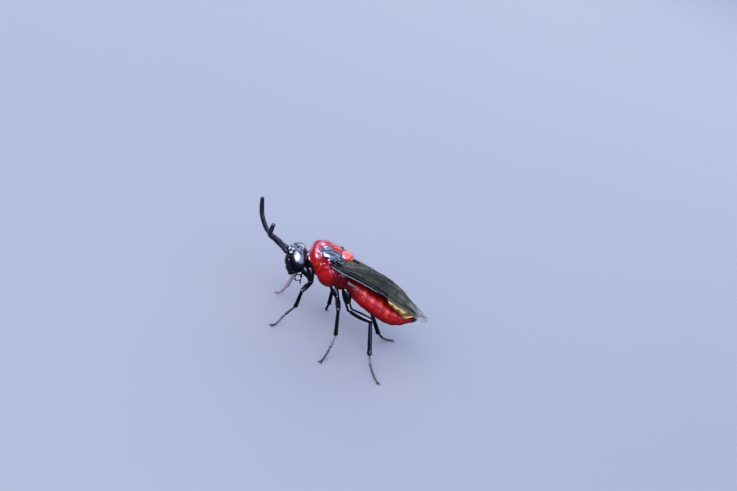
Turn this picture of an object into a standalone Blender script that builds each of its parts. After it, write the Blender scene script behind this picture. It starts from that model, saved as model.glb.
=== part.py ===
"""Life-size model of a red and black argid sawfly, standing with its wings folded.

The head points along -X, the left side along -Y and +Z is up. The model is built in
millimetres, and the last step turns every mesh into metres with the origin on the
floor, below the middle of the whole animal.
"""

import math
from collections import namedtuple

import bmesh
import bpy
from mathutils import Matrix, Vector
from mathutils.geometry import delaunay_2d_cdt

# Driving dimensions, in millimetres
MM = 0.001
GAP = 0.25
HEAD_CENTRE = Vector((-2.44, 0.0, 4.40))
HEAD_HALF = Vector((0.68, 1.13, 1.00))
HEAD_ROLL = math.radians(-6.0)
HEAD_YAW = math.radians(5.0)
EYE_CENTRE = Vector((0.02, -0.83, 0.06))
EYE_HALF = Vector((0.58, 0.43, 0.81))
EYE_LEAN = -20.0
EYE_TILT = 15.0
EYE_TURN = 10.0
THORAX_REAR = 1.42
THORAX_CENTRE = Vector((-0.25, 0.0, 5.00))
ABDOMEN_FRONT = THORAX_REAR + GAP
ABDOMEN_REAR = 6.92
ABDOMEN_SEGMENTS = 8
WING_ROOT = Vector((-0.22, -1.12))
WING_LENGTH = 7.86
WING_DROP = 0.90
WING_ROUND = 0.70
WING_THICK = 0.50
WING_THICK_TIP = 0.32
HINDWING_THICK = 0.34
LEG_SIDES = 8
ANTENNA_SIDES = 10

# Side views of the body, as rows of x and height or width
RIDGE_LINE = (
    (-0.5, 6.04), (1.2, 6.00), (2.4, 5.88), (3.2, 5.75), (4.1, 5.57), (4.8, 5.36), (5.5, 5.06),
    (6.2, 4.73), (6.9, 4.40), (7.7, 4.02),
)
ABDOMEN_TOP = ((1.6, 4.98), (2.6, 4.86), (4.0, 4.54), (5.0, 4.22), (6.0, 3.92), (6.92, 3.72))
ABDOMEN_BASE = ((1.6, 3.72), (2.6, 3.22), (3.6, 2.92), (5.1, 2.62), (6.0, 2.84), (6.92, 3.52))
ABDOMEN_WIDTH = ((1.6, 1.02), (2.6, 1.20), (3.6, 1.31), (4.6, 1.26), (5.5, 1.04), (6.3, 0.66), (6.92, 0.20))

Finish = namedtuple("Finish", "colour roughness metallic")
RED = Finish((0.62, 0.045, 0.025, 1.0), 0.28, 0.0)
BLACK = Finish((0.012, 0.013, 0.018, 1.0), 0.24, 0.0)
EYE_BLACK = Finish((0.008, 0.008, 0.010, 1.0), 0.12, 0.0)
SMOKY = Finish((0.10, 0.09, 0.05, 1.0), 0.30, 0.0)
AMBER = Finish((0.45, 0.36, 0.16, 1.0), 0.30, 0.0)


def clear_scene():
    """Removes whatever the file opened with."""
    for obj in list(bpy.data.objects):
        bpy.data.objects.remove(obj, do_unlink=True)


def height_at(line, x):
    """Height of a smooth curve through the points of a side view."""
    last = len(line) - 1
    span = max(i for i in range(last) if i == 0 or line[i][0] <= x)
    (x0, z0), (x1, z1) = line[span], line[span + 1]
    before, after = line[max(span - 1, 0)], line[min(span + 2, last)]
    slope0 = (z1 - before[1]) / (x1 - before[0])
    slope1 = (after[1] - z0) / (after[0] - x0)
    t, width = (x - x0) / (x1 - x0), x1 - x0
    t = min(max(t, 0.0), 1.0)
    return (
        (2 * t**3 - 3 * t**2 + 1) * z0
        + (t**3 - 2 * t**2 + t) * width * slope0
        + (3 * t**2 - 2 * t**3) * z1
        + (t**3 - t**2) * width * slope1
    )


def curve_points(points, spans):
    """Points of a smooth curve through a few, with this many to each span."""
    made = []
    last = len(points) - 1
    for i in range(last):
        p0, p1 = points[max(i - 1, 0)], points[i]
        p2, p3 = points[i + 1], points[min(i + 2, last)]
        for k in range(spans):
            t = k / spans
            made.append(
                0.5 * (2 * p1 + (p2 - p0) * t + (2 * p0 - 5 * p1 + 4 * p2 - p3) * t**2
                       + (3 * p1 - p0 - 3 * p2 + p3) * t**3)
            )
    return made + [points[last].copy()]


def mesh_object(name, bm):
    """Turns a bmesh into an object with its faces pointing out."""
    bmesh.ops.recalc_face_normals(bm, faces=bm.faces)
    mesh = bpy.data.meshes.new(name)
    bm.to_mesh(mesh)
    bm.free()
    obj = bpy.data.objects.new(name, mesh)
    bpy.context.scene.collection.objects.link(obj)
    return obj


def skin_rings(name, rings, nose, tail):
    """Closed skin over rings of points, with a point in front and one behind."""
    bm = bmesh.new()
    rows = [[bm.verts.new(p) for p in ring] for ring in rings]
    count = len(rows[0])
    for near, far in zip(rows, rows[1:]):
        for i in range(count):
            j = (i + 1) % count
            bm.faces.new((near[i], near[j], far[j], far[i]))
    first, final = bm.verts.new(nose), bm.verts.new(tail)
    for i in range(count):
        j = (i + 1) % count
        bm.faces.new((first, rows[0][j], rows[0][i]))
        bm.faces.new((final, rows[-1][i], rows[-1][j]))
    return mesh_object(name, bm)


def lobe(centre, half, turn=(0.0, 0.0, 0.0), detail=3):
    """Ellipsoid with its half axes, turned by degrees about X, Y and Z."""
    bm = bmesh.new()
    bmesh.ops.create_icosphere(bm, subdivisions=detail, radius=1.0)
    spin = Matrix.LocRotScale(None, None, half)
    for degrees, axis in zip(turn, "XYZ"):
        spin = Matrix.Rotation(math.radians(degrees), 4, axis) @ spin
    bmesh.ops.transform(bm, matrix=Matrix.Translation(centre) @ spin, verts=bm.verts)
    return mesh_object("lobe", bm)


def pair(centre, half, turn=(0.0, 0.0, 0.0), detail=3):
    """A lobe on each side; the centre is that of the left one."""
    x, y, z = centre
    return [
        lobe((x, y, z), half, turn, detail),
        lobe((x, -y, z), half, (-turn[0], turn[1], -turn[2]), detail),
    ]


def tube(path, radii, sides=LEG_SIDES):
    """Tapered round rod along a path, with a blunt point past each end."""
    side = Vector((0.31, 0.87, 0.38))
    rings = []
    last = len(path) - 1
    for i, (point, radius) in enumerate(zip(path, radii)):
        along = (path[min(i + 1, last)] - path[max(i - 1, 0)]).normalized()
        side = (side - side.dot(along) * along).normalized()
        other = along.cross(side)
        rings.append([
            point + radius * (math.cos(a) * side + math.sin(a) * other)
            for a in (2 * math.pi * k / sides for k in range(sides))
        ])
    nose = path[0] + (path[0] - path[1]).normalized() * radii[0] * 0.5
    tail = path[-1] + (path[-1] - path[-2]).normalized() * radii[-1] * 0.5
    return skin_rings("tube", rings, nose, tail)


def apply_boolean(obj, others, operation):
    """Applies one Boolean of a collection of closed meshes and removes them."""
    tools = bpy.data.collections.new("pieces")
    for other in others:
        tools.objects.link(other)
    modifier = obj.modifiers.new("join", "BOOLEAN")
    modifier.operation = operation
    modifier.solver = "EXACT"
    modifier.operand_type = "COLLECTION"
    modifier.collection = tools
    graph = bpy.context.evaluated_depsgraph_get()
    mesh = bpy.data.meshes.new_from_object(obj.evaluated_get(graph))
    obj.modifiers.clear()
    obj.data = mesh
    for other in others:
        bpy.data.objects.remove(other, do_unlink=True)
    bpy.data.collections.remove(tools)


def keep_largest(obj):
    """Keeps only the largest closed surface of a mesh."""
    bm = bmesh.new()
    bm.from_mesh(obj.data)
    left, islands = set(bm.faces), []
    while left:
        front = [left.pop()]
        island = list(front)
        while front:
            for edge in front.pop().edges:
                for face in edge.link_faces:
                    if face in left:
                        left.remove(face)
                        front.append(face)
                        island.append(face)
        islands.append(island)
    islands.sort(key=lambda faces: sum(f.calc_area() for f in faces))
    for island in islands[:-1]:
        bmesh.ops.delete(bm, geom=island, context="FACES")
    loose = [v for v in bm.verts if not v.link_faces]
    bmesh.ops.delete(bm, geom=loose, context="VERTS")
    bm.to_mesh(obj.data)
    bm.free()


def material_of(name, finish):
    """Principled material with a piece's colour, roughness and metallic value."""
    material = bpy.data.materials.new(name)
    material.use_nodes = True
    shader = material.node_tree.nodes["Principled BSDF"]
    shader.inputs["Base Color"].default_value = finish.colour
    shader.inputs["Roughness"].default_value = finish.roughness
    shader.inputs["Metallic"].default_value = finish.metallic
    return material


def node(name, pieces, finish, cutters=()):
    """Joins the pieces of a named part into one closed body and cuts it clear."""
    obj = pieces[0]
    if len(pieces) > 1:
        apply_boolean(obj, pieces[1:], "UNION")
    if cutters:
        apply_boolean(obj, list(cutters), "DIFFERENCE")
    keep_largest(obj)
    obj.name = name
    obj.data.name = name
    obj.data.materials.clear()
    obj.data.materials.append(material_of(name, finish))
    obj.data.shade_smooth()
    obj.data.set_sharp_from_angle(angle=math.radians(38.0))
    return obj


def roll_head(objects):
    """Turns parts of the head about its own centre: right side down, face to the left."""
    turn = (
        Matrix.Translation(HEAD_CENTRE)
        @ Matrix.Rotation(HEAD_YAW, 4, "Z")
        @ Matrix.Rotation(HEAD_ROLL, 4, "X")
        @ Matrix.Translation(-HEAD_CENTRE)
    )
    for obj in objects:
        obj.data.transform(turn)


def head_point(x, y, z):
    """A point given from the middle of the head, before the head is rolled."""
    return HEAD_CENTRE + Vector((x, y, z))


def eye_lobe(side, grow=0.0):
    """Eyeball of one side, leaning forward and inward at its top; side is -1 on the left."""
    centre = head_point(EYE_CENTRE.x, -side * EYE_CENTRE.y, EYE_CENTRE.z)
    half = EYE_HALF + Vector((grow, grow, grow))
    return lobe(centre, half, (side * EYE_TILT, EYE_LEAN, -side * EYE_TURN))


def build_head():
    """Head capsule with its face, mouth parts, antennal sockets and ocelli."""
    pieces = [lobe(head_point(0.00, 0.0, 0.05), HEAD_HALF)]
    pieces.append(lobe(head_point(0.00, 0.0, 0.48), (0.46, 0.98, 0.57)))
    pieces.append(lobe(head_point(-0.34, 0.0, -0.06), (0.42, 0.74, 0.86)))
    pieces.append(lobe(head_point(-0.10, 0.0, -0.78), (0.40, 0.62, 0.40), detail=2))
    pieces.append(lobe(head_point(-0.06, 0.0, -1.10), (0.26, 0.40, 0.22), (0, 20, 0), detail=2))
    pieces.append(lobe(head_point(0.20, 0.0, -0.62), (0.46, 0.72, 0.52), detail=2))
    pieces.append(lobe(head_point(-0.66, 0.0, 0.20), (0.20, 0.12, 0.42), (0, -8, 0), detail=2))
    pieces += pair(head_point(-0.66, -0.27, 0.24), (0.20, 0.19, 0.21), detail=2)
    pieces += pair(head_point(-0.26, -0.25, 0.94), (0.12, 0.12, 0.12), detail=1)
    pieces.append(lobe(head_point(-0.46, 0.0, 0.70), (0.12, 0.12, 0.12), detail=1))
    for side in (-1, 1):
        jaw = curve_points([
            head_point(0.12, side * 0.56, -0.86),
            head_point(-0.02, side * 0.48, -1.12),
            head_point(0.00, side * 0.16, -1.28),
        ], 3)
        pieces.append(tube(jaw, [0.20 - 0.015 * i for i in range(len(jaw))]))
    cutters = [eye_lobe(-1, GAP), eye_lobe(1, GAP)]
    cutters += [socket_cutter(side) for side in (-1, 1)]
    return node("head", pieces, BLACK, cutters)


def socket_cutter(side):
    """Ball that hollows the cup which an antenna stands in."""
    return lobe(head_point(-0.90, side * 0.31, 0.26), (0.37, 0.37, 0.37), detail=2)


def build_eyes():
    """Both compound eyes, set in the cups of the head."""
    return [
        node("eye_left", [eye_lobe(-1)], EYE_BLACK),
        node("eye_right", [eye_lobe(1)], EYE_BLACK),
    ]


def antenna(name, base, bends):
    """Scape, pedicel and one long flagellum that thickens towards its blunt end."""
    scape = base + (bends[0] - base).normalized() * 0.34
    path = curve_points([scape] + bends, 4)
    count = len(path) - 1
    radii = [0.24 + 0.03 * math.sin(math.pi * min(1.0, 1.15 * i / count)) for i in range(count)]
    pieces = [
        tube(path, radii + [0.20], ANTENNA_SIDES),
        lobe(base + (scape - base) * 0.25, (0.20, 0.20, 0.20), detail=2),
        lobe(scape, (0.235, 0.235, 0.235), detail=2),
    ]
    return node(name, pieces, BLACK)


def build_antennae():
    """Both feelers, raised and spread as in life."""
    left = antenna("antenna_left", Vector((-3.36, -0.37, 4.68)), [
        Vector((-4.00, -0.48, 5.03)),
        Vector((-4.48, -0.66, 5.36)),
        Vector((-4.86, -1.05, 5.68)),
        Vector((-5.00, -1.62, 6.22)),
        Vector((-5.08, -2.36, 7.16)),
    ])
    right = antenna("antenna_right", Vector((-3.36, 0.26, 4.66)), [
        Vector((-4.00, 0.38, 4.86)),
        Vector((-4.97, 0.56, 5.08)),
        Vector((-5.63, 0.76, 5.70)),
        Vector((-5.95, 0.92, 6.20)),
        Vector((-6.27, 1.10, 7.01)),
    ])
    return [left, right]


def wing_surface(x, y):
    """Height of the roof that the folded wings make."""
    drop = WING_DROP * (math.hypot(y, WING_ROUND) - WING_ROUND)
    return height_at(RIDGE_LINE, x) - drop


def wing_place(side, upright=False):
    """Gives the function that lays a wing's plan on the roof, with its normal or a plumb line."""
    step = 0.01

    def place(u, v):
        x, y = WING_ROOT.x + u, WING_ROOT.y + v
        z = wing_surface(x, y)
        normal = Vector((0.0, 0.0, 1.0))
        if not upright:
            lean_x = (wing_surface(x + step, y) - z) / step
            lean_y = (wing_surface(x, y + step) - z) / step
            normal = Vector((-lean_x, side * lean_y, 1.0)).normalized()
        return Vector((x, -side * y, z)), normal

    return place


def distance_to(line, p):
    """Distance in the plan from a point to a broken line."""
    best = math.inf
    for a, b in zip(line, line[1:]):
        run = b - a
        t = min(max((p - a).dot(run) / run.length_squared, 0.0), 1.0)
        best = min(best, (a + t * run - p).length)
    return best


def inside(outline, p):
    """Tells whether a point of the plan lies inside an outline."""
    found = False
    for a, b in zip(outline, outline[1:] + outline[:1]):
        if (a.y > p.y) != (b.y > p.y) and p.x < a.x + (p.y - a.y) * (b.x - a.x) / (b.y - a.y):
            found = not found
    return found


Vein = namedtuple("Vein", "line half_width height")


def plan_points(outline, veins, pitch):
    """Points and edges of the plan: its rim, the crest and feet of each vein, a sparse grid."""
    points = list(outline)
    edges = [(i, (i + 1) % len(outline)) for i in range(len(outline))]
    closed_rim = outline + outline[:1]

    def add_line(line):
        previous = None
        for p in line:
            if not inside(outline, p) or distance_to(closed_rim, p) < 0.03:
                previous = None
                continue
            points.append(p)
            if previous is not None:
                edges.append((previous, len(points) - 1))
            previous = len(points) - 1

    for vein in veins:
        add_line(vein.line)
        for sign in (-1, 1):
            shifted = []
            for i, p in enumerate(vein.line):
                run = vein.line[min(i + 1, len(vein.line) - 1)] - vein.line[max(i - 1, 0)]
                normal = Vector((-run.y, run.x)).normalized()
                shifted.append(p + sign * vein.half_width * normal)
            add_line(shifted)
    low = [min(p[k] for p in outline) for k in (0, 1)]
    high = [max(p[k] for p in outline) for k in (0, 1)]
    for i in range(int((high[0] - low[0]) / pitch) + 1):
        for j in range(int((high[1] - low[1]) / pitch) + 1):
            p = Vector((low[0] + (i + 0.5) * pitch, low[1] + (j + 0.5) * pitch))
            clear = all(distance_to(v.line, p) > v.half_width + 0.12 for v in veins)
            if clear and inside(outline, p) and distance_to(closed_rim, p) > 0.2:
                points.append(p)
    return points, edges


def vane(outline, veins, place, thickness, pitch=0.55, lift=0.0):
    """Closed wing: one split into triangles for both faces, with the veins raised on top."""
    points, edges = plan_points(outline, veins, pitch)
    flat, _, faces, _, _, _ = delaunay_2d_cdt(points, edges, [], 0, 1e-5)
    faces = [f for f in faces if inside(outline, sum((flat[i] for i in f), Vector((0.0, 0.0))) / len(f))]
    bm = bmesh.new()
    tops, bottoms = {}, {}
    for i in sorted({i for f in faces for i in f}):
        p = Vector(flat[i])
        crest = max([v.height * max(0.0, 1 - distance_to(v.line, p) / v.half_width) for v in veins] + [0.0])
        point, normal = place(p.x, p.y)
        tops[i] = bm.verts.new(point + normal * (crest + lift))
        bottoms[i] = bm.verts.new(point - normal * thickness(p.x))
    rim = {}
    for f in faces:
        bm.faces.new([tops[i] for i in f])
        bm.faces.new([bottoms[i] for i in reversed(f)])
        for a, b in zip(f, f[1:] + f[:1]):
            rim[(a, b)] = rim.get((a, b), 0) + 1
    for a, b in rim:
        if (b, a) not in rim:
            bm.faces.new((tops[b], tops[a], bottoms[a], bottoms[b]))
    return mesh_object("vane", bm)


def plan_curve(points, spans=3):
    """Smooth line through plan points."""
    return curve_points([Vector(p) for p in points], spans)


def forewing_outline(grow=0.0):
    """Rim of a forewing: straight front edge, round tip, inner edge just past the ridge."""
    corners = [
        (0.0, 0.08), (0.5, 0.0), (1.4, -0.02), (3.0, 0.0), (4.4, 0.0), (5.4, 0.05), (6.3, 0.22), (7.0, 0.48), (7.55, 0.80),
        (WING_LENGTH, 1.10), (7.72, 1.34), (7.2, 1.46), (6.2, 1.50), (5.0, 1.46), (3.8, 1.36),
        (2.7, 1.16), (1.8, 0.92), (1.1, 0.66), (0.55, 0.46), (0.05, 0.36),
    ]
    rim = plan_curve(corners, 2)
    grown = []
    for i, p in enumerate(rim):
        run = (rim[(i + 1) % len(rim)] - rim[i - 1]).normalized()
        grown.append(p + grow * Vector((run.y, -run.x)))
    return grown


def forewing_veins():
    """Main veins of a forewing, with the dark stigma as the broadest."""
    return [
        Vein(plan_curve([(0.15, 0.15), (2.0, 0.17), (3.7, 0.18)], 3), 0.13, 0.10),
        Vein(plan_curve([(3.7, 0.20), (4.15, 0.24), (4.6, 0.26)], 1), 0.19, 0.13),
        Vein(plan_curve([(4.6, 0.28), (5.6, 0.36), (6.5, 0.56), (7.1, 0.86)], 2), 0.09, 0.07),
        Vein(plan_curve([(3.2, 0.34), (3.8, 0.54), (4.8, 0.66), (6.2, 0.80), (6.9, 0.94)], 2), 0.09, 0.08),
        Vein(plan_curve([(0.6, 0.32), (1.8, 0.50), (3.0, 0.72), (4.6, 0.94), (6.6, 1.20)], 2), 0.09, 0.08),
        Vein(plan_curve([(1.0, 0.46), (2.0, 0.80), (3.4, 1.10), (4.8, 1.24)], 2), 0.09, 0.08),
        Vein(plan_curve([(4.1, 0.72), (4.14, 0.82)], 1), 0.08, 0.06),
        Vein(plan_curve([(5.4, 0.80), (5.36, 0.98)], 1), 0.08, 0.06),
    ]


def wing_thickness(u):
    """Wing thickness at this length from the root, thinner at the root and the tip."""
    thin = max((u - 4.6) / 2.4, 1.0 - u / 0.9)
    return WING_THICK + (WING_THICK_TIP - WING_THICK) * min(max(thin, 0.0), 1.0)


def build_forewings():
    """Both forewings; the left lies over the ridge and the right is cut clear of it."""
    left = vane(forewing_outline(), forewing_veins(), wing_place(-1), wing_thickness)
    right = vane(forewing_outline(), forewing_veins(), wing_place(1), wing_thickness)
    over = vane(forewing_outline(GAP + 0.12), [], wing_place(-1, True), lambda u: 1.2, 1.2, 0.8)
    return [
        node("forewing_left", [left], SMOKY),
        node("forewing_right", [right], SMOKY, [over]),
    ]


def wing_root_cutters():
    """Blocks in the shape of the wing roots, grown by the gap, for the thorax."""
    outline = [p for p in forewing_outline(GAP) if p.x < 2.3]
    return [
        vane(outline, [], wing_place(side), lambda u: WING_THICK + GAP, 0.9, 0.6)
        for side in (-1, 1)
    ]


def hindwing(side):
    """Edge of a hindwing that shows below the front edge of the folded forewing."""
    centres = curve_points([
        Vector((3.90, -1.33, 4.62)), Vector((4.60, -1.33, 4.42)), Vector((5.30, -1.30, 4.24)),
        Vector((5.95, -1.18, 4.02)), Vector((6.45, -1.00, 3.94)), Vector((6.85, -0.80, 3.98)),
    ], 3)
    last = len(centres) - 1
    rings = []
    for i, centre in enumerate(centres):
        share = i / last
        tall = 0.10 + 0.21 * math.sin(math.pi * min(1.0, 0.12 + 0.86 * share)) ** 0.8
        rib = 0.03 if 0.1 < share < 0.9 else 0.0
        ring = []
        for k in range(12):
            angle = 2 * math.pi * k / 12
            out = (HINDWING_THICK / 2 + (rib if k in (2, 10) else 0.0)) * math.cos(angle)
            up = tall * math.sin(angle)
            ring.append(centre + Vector((0.0, -0.88 * out + 0.35 * up, 0.40 * out + 0.92 * up)))
        rings.append(ring)
    nose = centres[0] + Vector((-0.08, 0.0, 0.02))
    tail = centres[-1] + Vector((0.10, 0.04, 0.0))
    if side > 0:
        mirror = Vector((1.0, -1.0, 1.0))
        rings = [[p * mirror for p in ring] for ring in rings]
        nose, tail = nose * mirror, tail * mirror
    return skin_rings("hindwing", rings, nose, tail)


def build_hindwings():
    """Both hindwings."""
    return [
        node("hindwing_left", [hindwing(-1)], AMBER),
        node("hindwing_right", [hindwing(1)], AMBER),
    ]


def build_thorax(coxa_cutters):
    """Thorax with its collar, back lobes, scutellum, side plates and tegulae."""
    pieces = [lobe(THORAX_CENTRE, (1.52, 1.24, 1.22), (0, -14, 0))]
    pieces.append(lobe((-1.18, 0.0, 5.36), (0.70, 1.14, 0.92), (0, -24, 0)))
    pieces.append(lobe((-0.90, 0.0, 5.76), (0.78, 0.58, 0.66), (0, -6, 0)))
    pieces += pair((-0.40, -0.66, 5.62), (0.84, 0.50, 0.56), (14, 4, 0))
    pieces += pair((-1.20, -0.80, 5.28), (0.44, 0.46, 0.62), (0, -20, 0), detail=2)
    pieces.append(lobe((0.72, 0.0, 5.84), (0.52, 0.52, 0.46)))
    pieces.append(lobe((0.95, 0.0, 5.20), (0.66, 1.02, 0.62), detail=2))
    pieces += pair((0.05, -0.52, 4.52), (0.92, 0.80, 1.06), (0, -22, 0))
    pieces += pair((0.86, -0.62, 4.55), (0.62, 0.60, 0.86), (0, -12, 0), detail=2)
    pieces.append(lobe((1.02, 0.0, 4.52), (0.80, 1.06, 0.96)))
    pieces += pair((-1.34, -0.34, 4.66), (0.40, 0.38, 0.62), (0, -24, 0), detail=2)
    pieces += pair((-0.42, -1.16, 5.66), (0.30, 0.22, 0.22), (0, 10, 0), detail=2)
    neck = [Vector((-1.2, 0.0, 5.0)), Vector((-1.66, 0.0, 4.92)), Vector((-1.80, 0.0, 4.90))]
    pieces.append(tube(neck, [0.50, 0.36, 0.33], 12))
    trim = block_between((THORAX_REAR, -3.0, 2.0), (4.0, 3.0, 7.0))
    head_space = [lobe(head_point(0.00, 0.0, 0.05), HEAD_HALF + Vector((GAP, GAP, GAP)))]
    head_space += [eye_lobe(-1, GAP), eye_lobe(1, GAP)]
    roll_head(head_space)
    cutters = [trim] + head_space + wing_root_cutters() + coxa_cutters
    return node("thorax", pieces, RED, cutters)


def block_between(low, high):
    """Plain block between two corners."""
    bm = bmesh.new()
    bmesh.ops.create_cube(bm, size=1.0)
    low, high = Vector(low), Vector(high)
    shape = Matrix.LocRotScale((low + high) / 2, None, high - low)
    bmesh.ops.transform(bm, matrix=shape, verts=bm.verts)
    return mesh_object("block", bm)


def build_abdomen(coxa_cutters):
    """Abdomen of overlapping rings, each flared a little at its rear edge."""
    sides = 28
    rings = []
    length = ABDOMEN_REAR - ABDOMEN_FRONT
    edges = [ABDOMEN_FRONT + length * (i / ABDOMEN_SEGMENTS) ** 0.94 for i in range(ABDOMEN_SEGMENTS + 1)]
    for start, end in zip(edges, edges[1:]):
        for share, flare in ((0.0, 0.955), (0.45, 0.99), (0.94, 1.0)):
            x = start + (end - start) * share
            rings.append(abdomen_ring(x, flare, sides))
    rings.append(abdomen_ring(ABDOMEN_REAR, 0.8, sides))
    top, base = height_at(ABDOMEN_TOP, ABDOMEN_REAR), height_at(ABDOMEN_BASE, ABDOMEN_REAR)
    front = Vector((ABDOMEN_FRONT, 0.0, 4.4))
    body = skin_rings("abdomen", rings, front, Vector((ABDOMEN_REAR + 0.06, 0.0, (top + base) / 2)))
    return node("abdomen", [body], RED, coxa_cutters + [sheath(GAP)])


def abdomen_ring(x, flare, sides):
    """One ring of the abdomen, flatter below and creased along the side."""
    top, base = height_at(ABDOMEN_TOP, x), height_at(ABDOMEN_BASE, x)
    middle, half = (top + base) / 2, (top - base) / 2
    width = height_at(ABDOMEN_WIDTH, x)
    ring = []
    for k in range(sides):
        angle = 2 * math.pi * k / sides
        c, s = math.cos(angle), math.sin(angle)
        y = width * math.copysign(abs(c) ** 0.92, c)
        z = half * math.copysign(abs(s) ** 0.92, s)
        ring.append(Vector((x, y * flare, middle + z * flare)))
    return ring


def sheath(grow=0.0):
    """Short blade of the saw's sheath under the tip of the abdomen."""
    path = [Vector((6.20 - grow, 0.0, 3.02 - grow)), Vector((6.62, 0.0, 3.26)), Vector((7.02, 0.0, 3.56))]
    return tube(path, [0.24 + grow, 0.27 + grow, 0.18 + grow], 10)


Leg = namedtuple("Leg", "root hip knee ankle foot coxa femur")


def legs():
    """Joint places of the six legs, hip to claw, with coxa and femur radii."""
    return {
        "leg_front_left": Leg(
            Vector((-1.36, -0.50, 4.36)), Vector((-0.86, -0.78, 3.40)), Vector((-1.34, -1.92, 3.20)),
            Vector((-1.24, -1.74, 1.78)),
            [Vector((-1.70, -1.98, 0.74)), Vector((-1.92, -2.20, 0.26)), Vector((-2.16, -2.46, 0.17))],
            0.34, 0.28),
        "leg_front_right": Leg(
            Vector((-1.36, 0.50, 4.36)), Vector((-0.80, 0.78, 2.84)), Vector((-1.86, 1.58, 2.96)),
            Vector((-2.00, 1.48, 1.24)),
            [Vector((-2.12, 1.86, 0.56)), Vector((-2.20, 2.10, 0.26)), Vector((-2.34, 2.24, 0.19))],
            0.34, 0.28),
        "leg_middle_left": Leg(
            Vector((0.56, -0.64, 3.86)), Vector((1.18, -0.98, 3.34)), Vector((1.46, -2.50, 3.21)),
            Vector((2.02, -2.84, 1.55)),
            [Vector((1.90, -3.52, 0.70)), Vector((1.82, -3.98, 0.26)), Vector((1.66, -4.50, 0.17))],
            0.30, 0.28),
        "leg_middle_right": Leg(
            Vector((0.50, 0.64, 3.86)), Vector((0.96, 0.98, 3.26)), Vector((1.00, 1.96, 2.42)),
            Vector((1.34, 2.26, 0.86)),
            [Vector((1.36, 2.46, 0.46)), Vector((1.38, 2.62, 0.26)), Vector((1.42, 2.78, 0.19))],
            0.30, 0.28),
        "leg_hind_left": Leg(
            Vector((1.50, -0.60, 3.98)), Vector((2.14, -0.88, 3.02)), Vector((3.88, -1.90, 3.10)),
            Vector((4.78, -2.60, 1.06)),
            [Vector((5.12, -2.98, 0.52)), Vector((5.44, -3.42, 0.22)), Vector((6.00, -4.06, 0.17))],
            0.38, 0.31),
        "leg_hind_right": Leg(
            Vector((1.50, 0.60, 3.98)), Vector((2.16, 0.88, 3.02)), Vector((3.89, 1.45, 2.32)),
            Vector((5.34, 1.55, 0.60)),
            [Vector((5.66, 1.75, 0.33)), Vector((6.04, 1.98, 0.20)), Vector((6.58, 2.36, 0.17))],
            0.38, 0.31),
    }


def coxa_lobe(leg, grow=0.0):
    """Long egg from the root of a leg to its hip."""
    run = leg.hip - leg.root
    half = run.length / 2 + leg.coxa * 0.55
    egg = lobe((0, 0, 0), (leg.coxa + grow, leg.coxa + grow, half + grow), detail=2)
    turn = run.to_track_quat("Z", "Y").to_matrix().to_4x4()
    egg.data.transform(Matrix.Translation((leg.root + leg.hip) / 2) @ turn)
    return egg


def build_leg(name, leg):
    """One leg: coxa, femur, tibia, tarsus with swollen joints and a pair of claws."""
    pieces = [coxa_lobe(leg)]
    start = leg.hip.lerp(leg.knee, 0.04)
    thigh = [start.lerp(leg.knee, t) for t in (0.0, 0.12, 0.35, 0.62, 0.86, 1.0)]
    swell = (0.80, 0.84, 1.0, 1.0, 0.90, 0.92)
    pieces.append(tube(thigh, [leg.femur * s for s in swell]))
    shin = [leg.knee.lerp(leg.ankle, t) for t in (0.0, 0.15, 0.55, 0.90, 1.0)]
    pieces.append(tube(shin, [0.25, 0.245, 0.26, 0.285, 0.27]))
    route = curve_points([leg.ankle] + leg.foot, 4)
    radii = []
    for i in range(len(route)):
        share = i / (len(route) - 1)
        swell = 1.08 if i % 3 == 2 else 0.94
        radii.append((0.25 - 0.06 * share) * swell)
    pieces.append(tube(route, radii))
    along = (leg.foot[2] - leg.foot[1]).normalized()
    out = along.cross(Vector((0.0, 0.0, 1.0))).normalized()
    for sign in (-1, 1):
        tip = leg.foot[2] + along * 0.20 + out * sign * 0.20
        claw = [leg.foot[2] - along * 0.05, tip, tip + along * 0.12 + Vector((0.0, 0.0, -0.10))]
        pieces.append(tube(claw, [0.14, 0.10, 0.05], 6))
    ground = block_between((-9.0, -9.0, -3.0), (9.0, 9.0, 0.0))
    return node(name, pieces, BLACK, [ground])


def stand_on_floor():
    """Turns millimetres into metres with the origin below the middle of the animal."""
    nodes = [obj for obj in bpy.context.scene.collection.objects if obj.type == "MESH"]
    corners = [v.co for obj in nodes for v in obj.data.vertices]
    low = [min(c[k] for c in corners) for k in range(3)]
    high = [max(c[k] for c in corners) for k in range(3)]
    middle = Vector(((low[0] + high[0]) / 2, (low[1] + high[1]) / 2, low[2]))
    for obj in nodes:
        obj.data.transform(Matrix.Scale(MM, 4) @ Matrix.Translation(-middle))


def main():
    """Builds every named part of the animal."""
    clear_scene()
    stance = legs()
    front = [stance["leg_front_left"], stance["leg_front_right"]]
    middle = [stance["leg_middle_left"], stance["leg_middle_right"]]
    hind = [stance["leg_hind_left"], stance["leg_hind_right"]]
    build_thorax([coxa_lobe(leg, GAP) for leg in front + middle + hind])
    build_abdomen([coxa_lobe(leg, GAP) for leg in middle + hind])
    head_parts = [build_head()] + build_eyes()
    roll_head(head_parts)
    build_antennae()
    build_forewings()
    build_hindwings()
    node("sheath", [sheath()], BLACK)
    for name, leg in stance.items():
        build_leg(name, leg)
    stand_on_floor()


main()
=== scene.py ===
"""Dressed, life-size model of a red and black argid sawfly standing with its wings folded.

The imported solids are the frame. Every visible piece is built in design millimetres, with the
head towards -X, the left side towards -Y and +Z up, and is then laid over the frame in metres.
"""

import logging
import math
from dataclasses import dataclass
from enum import Enum, IntEnum
from typing import Callable, Sequence

import bpy
import numpy as np
from mathutils import Matrix, Vector


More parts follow.
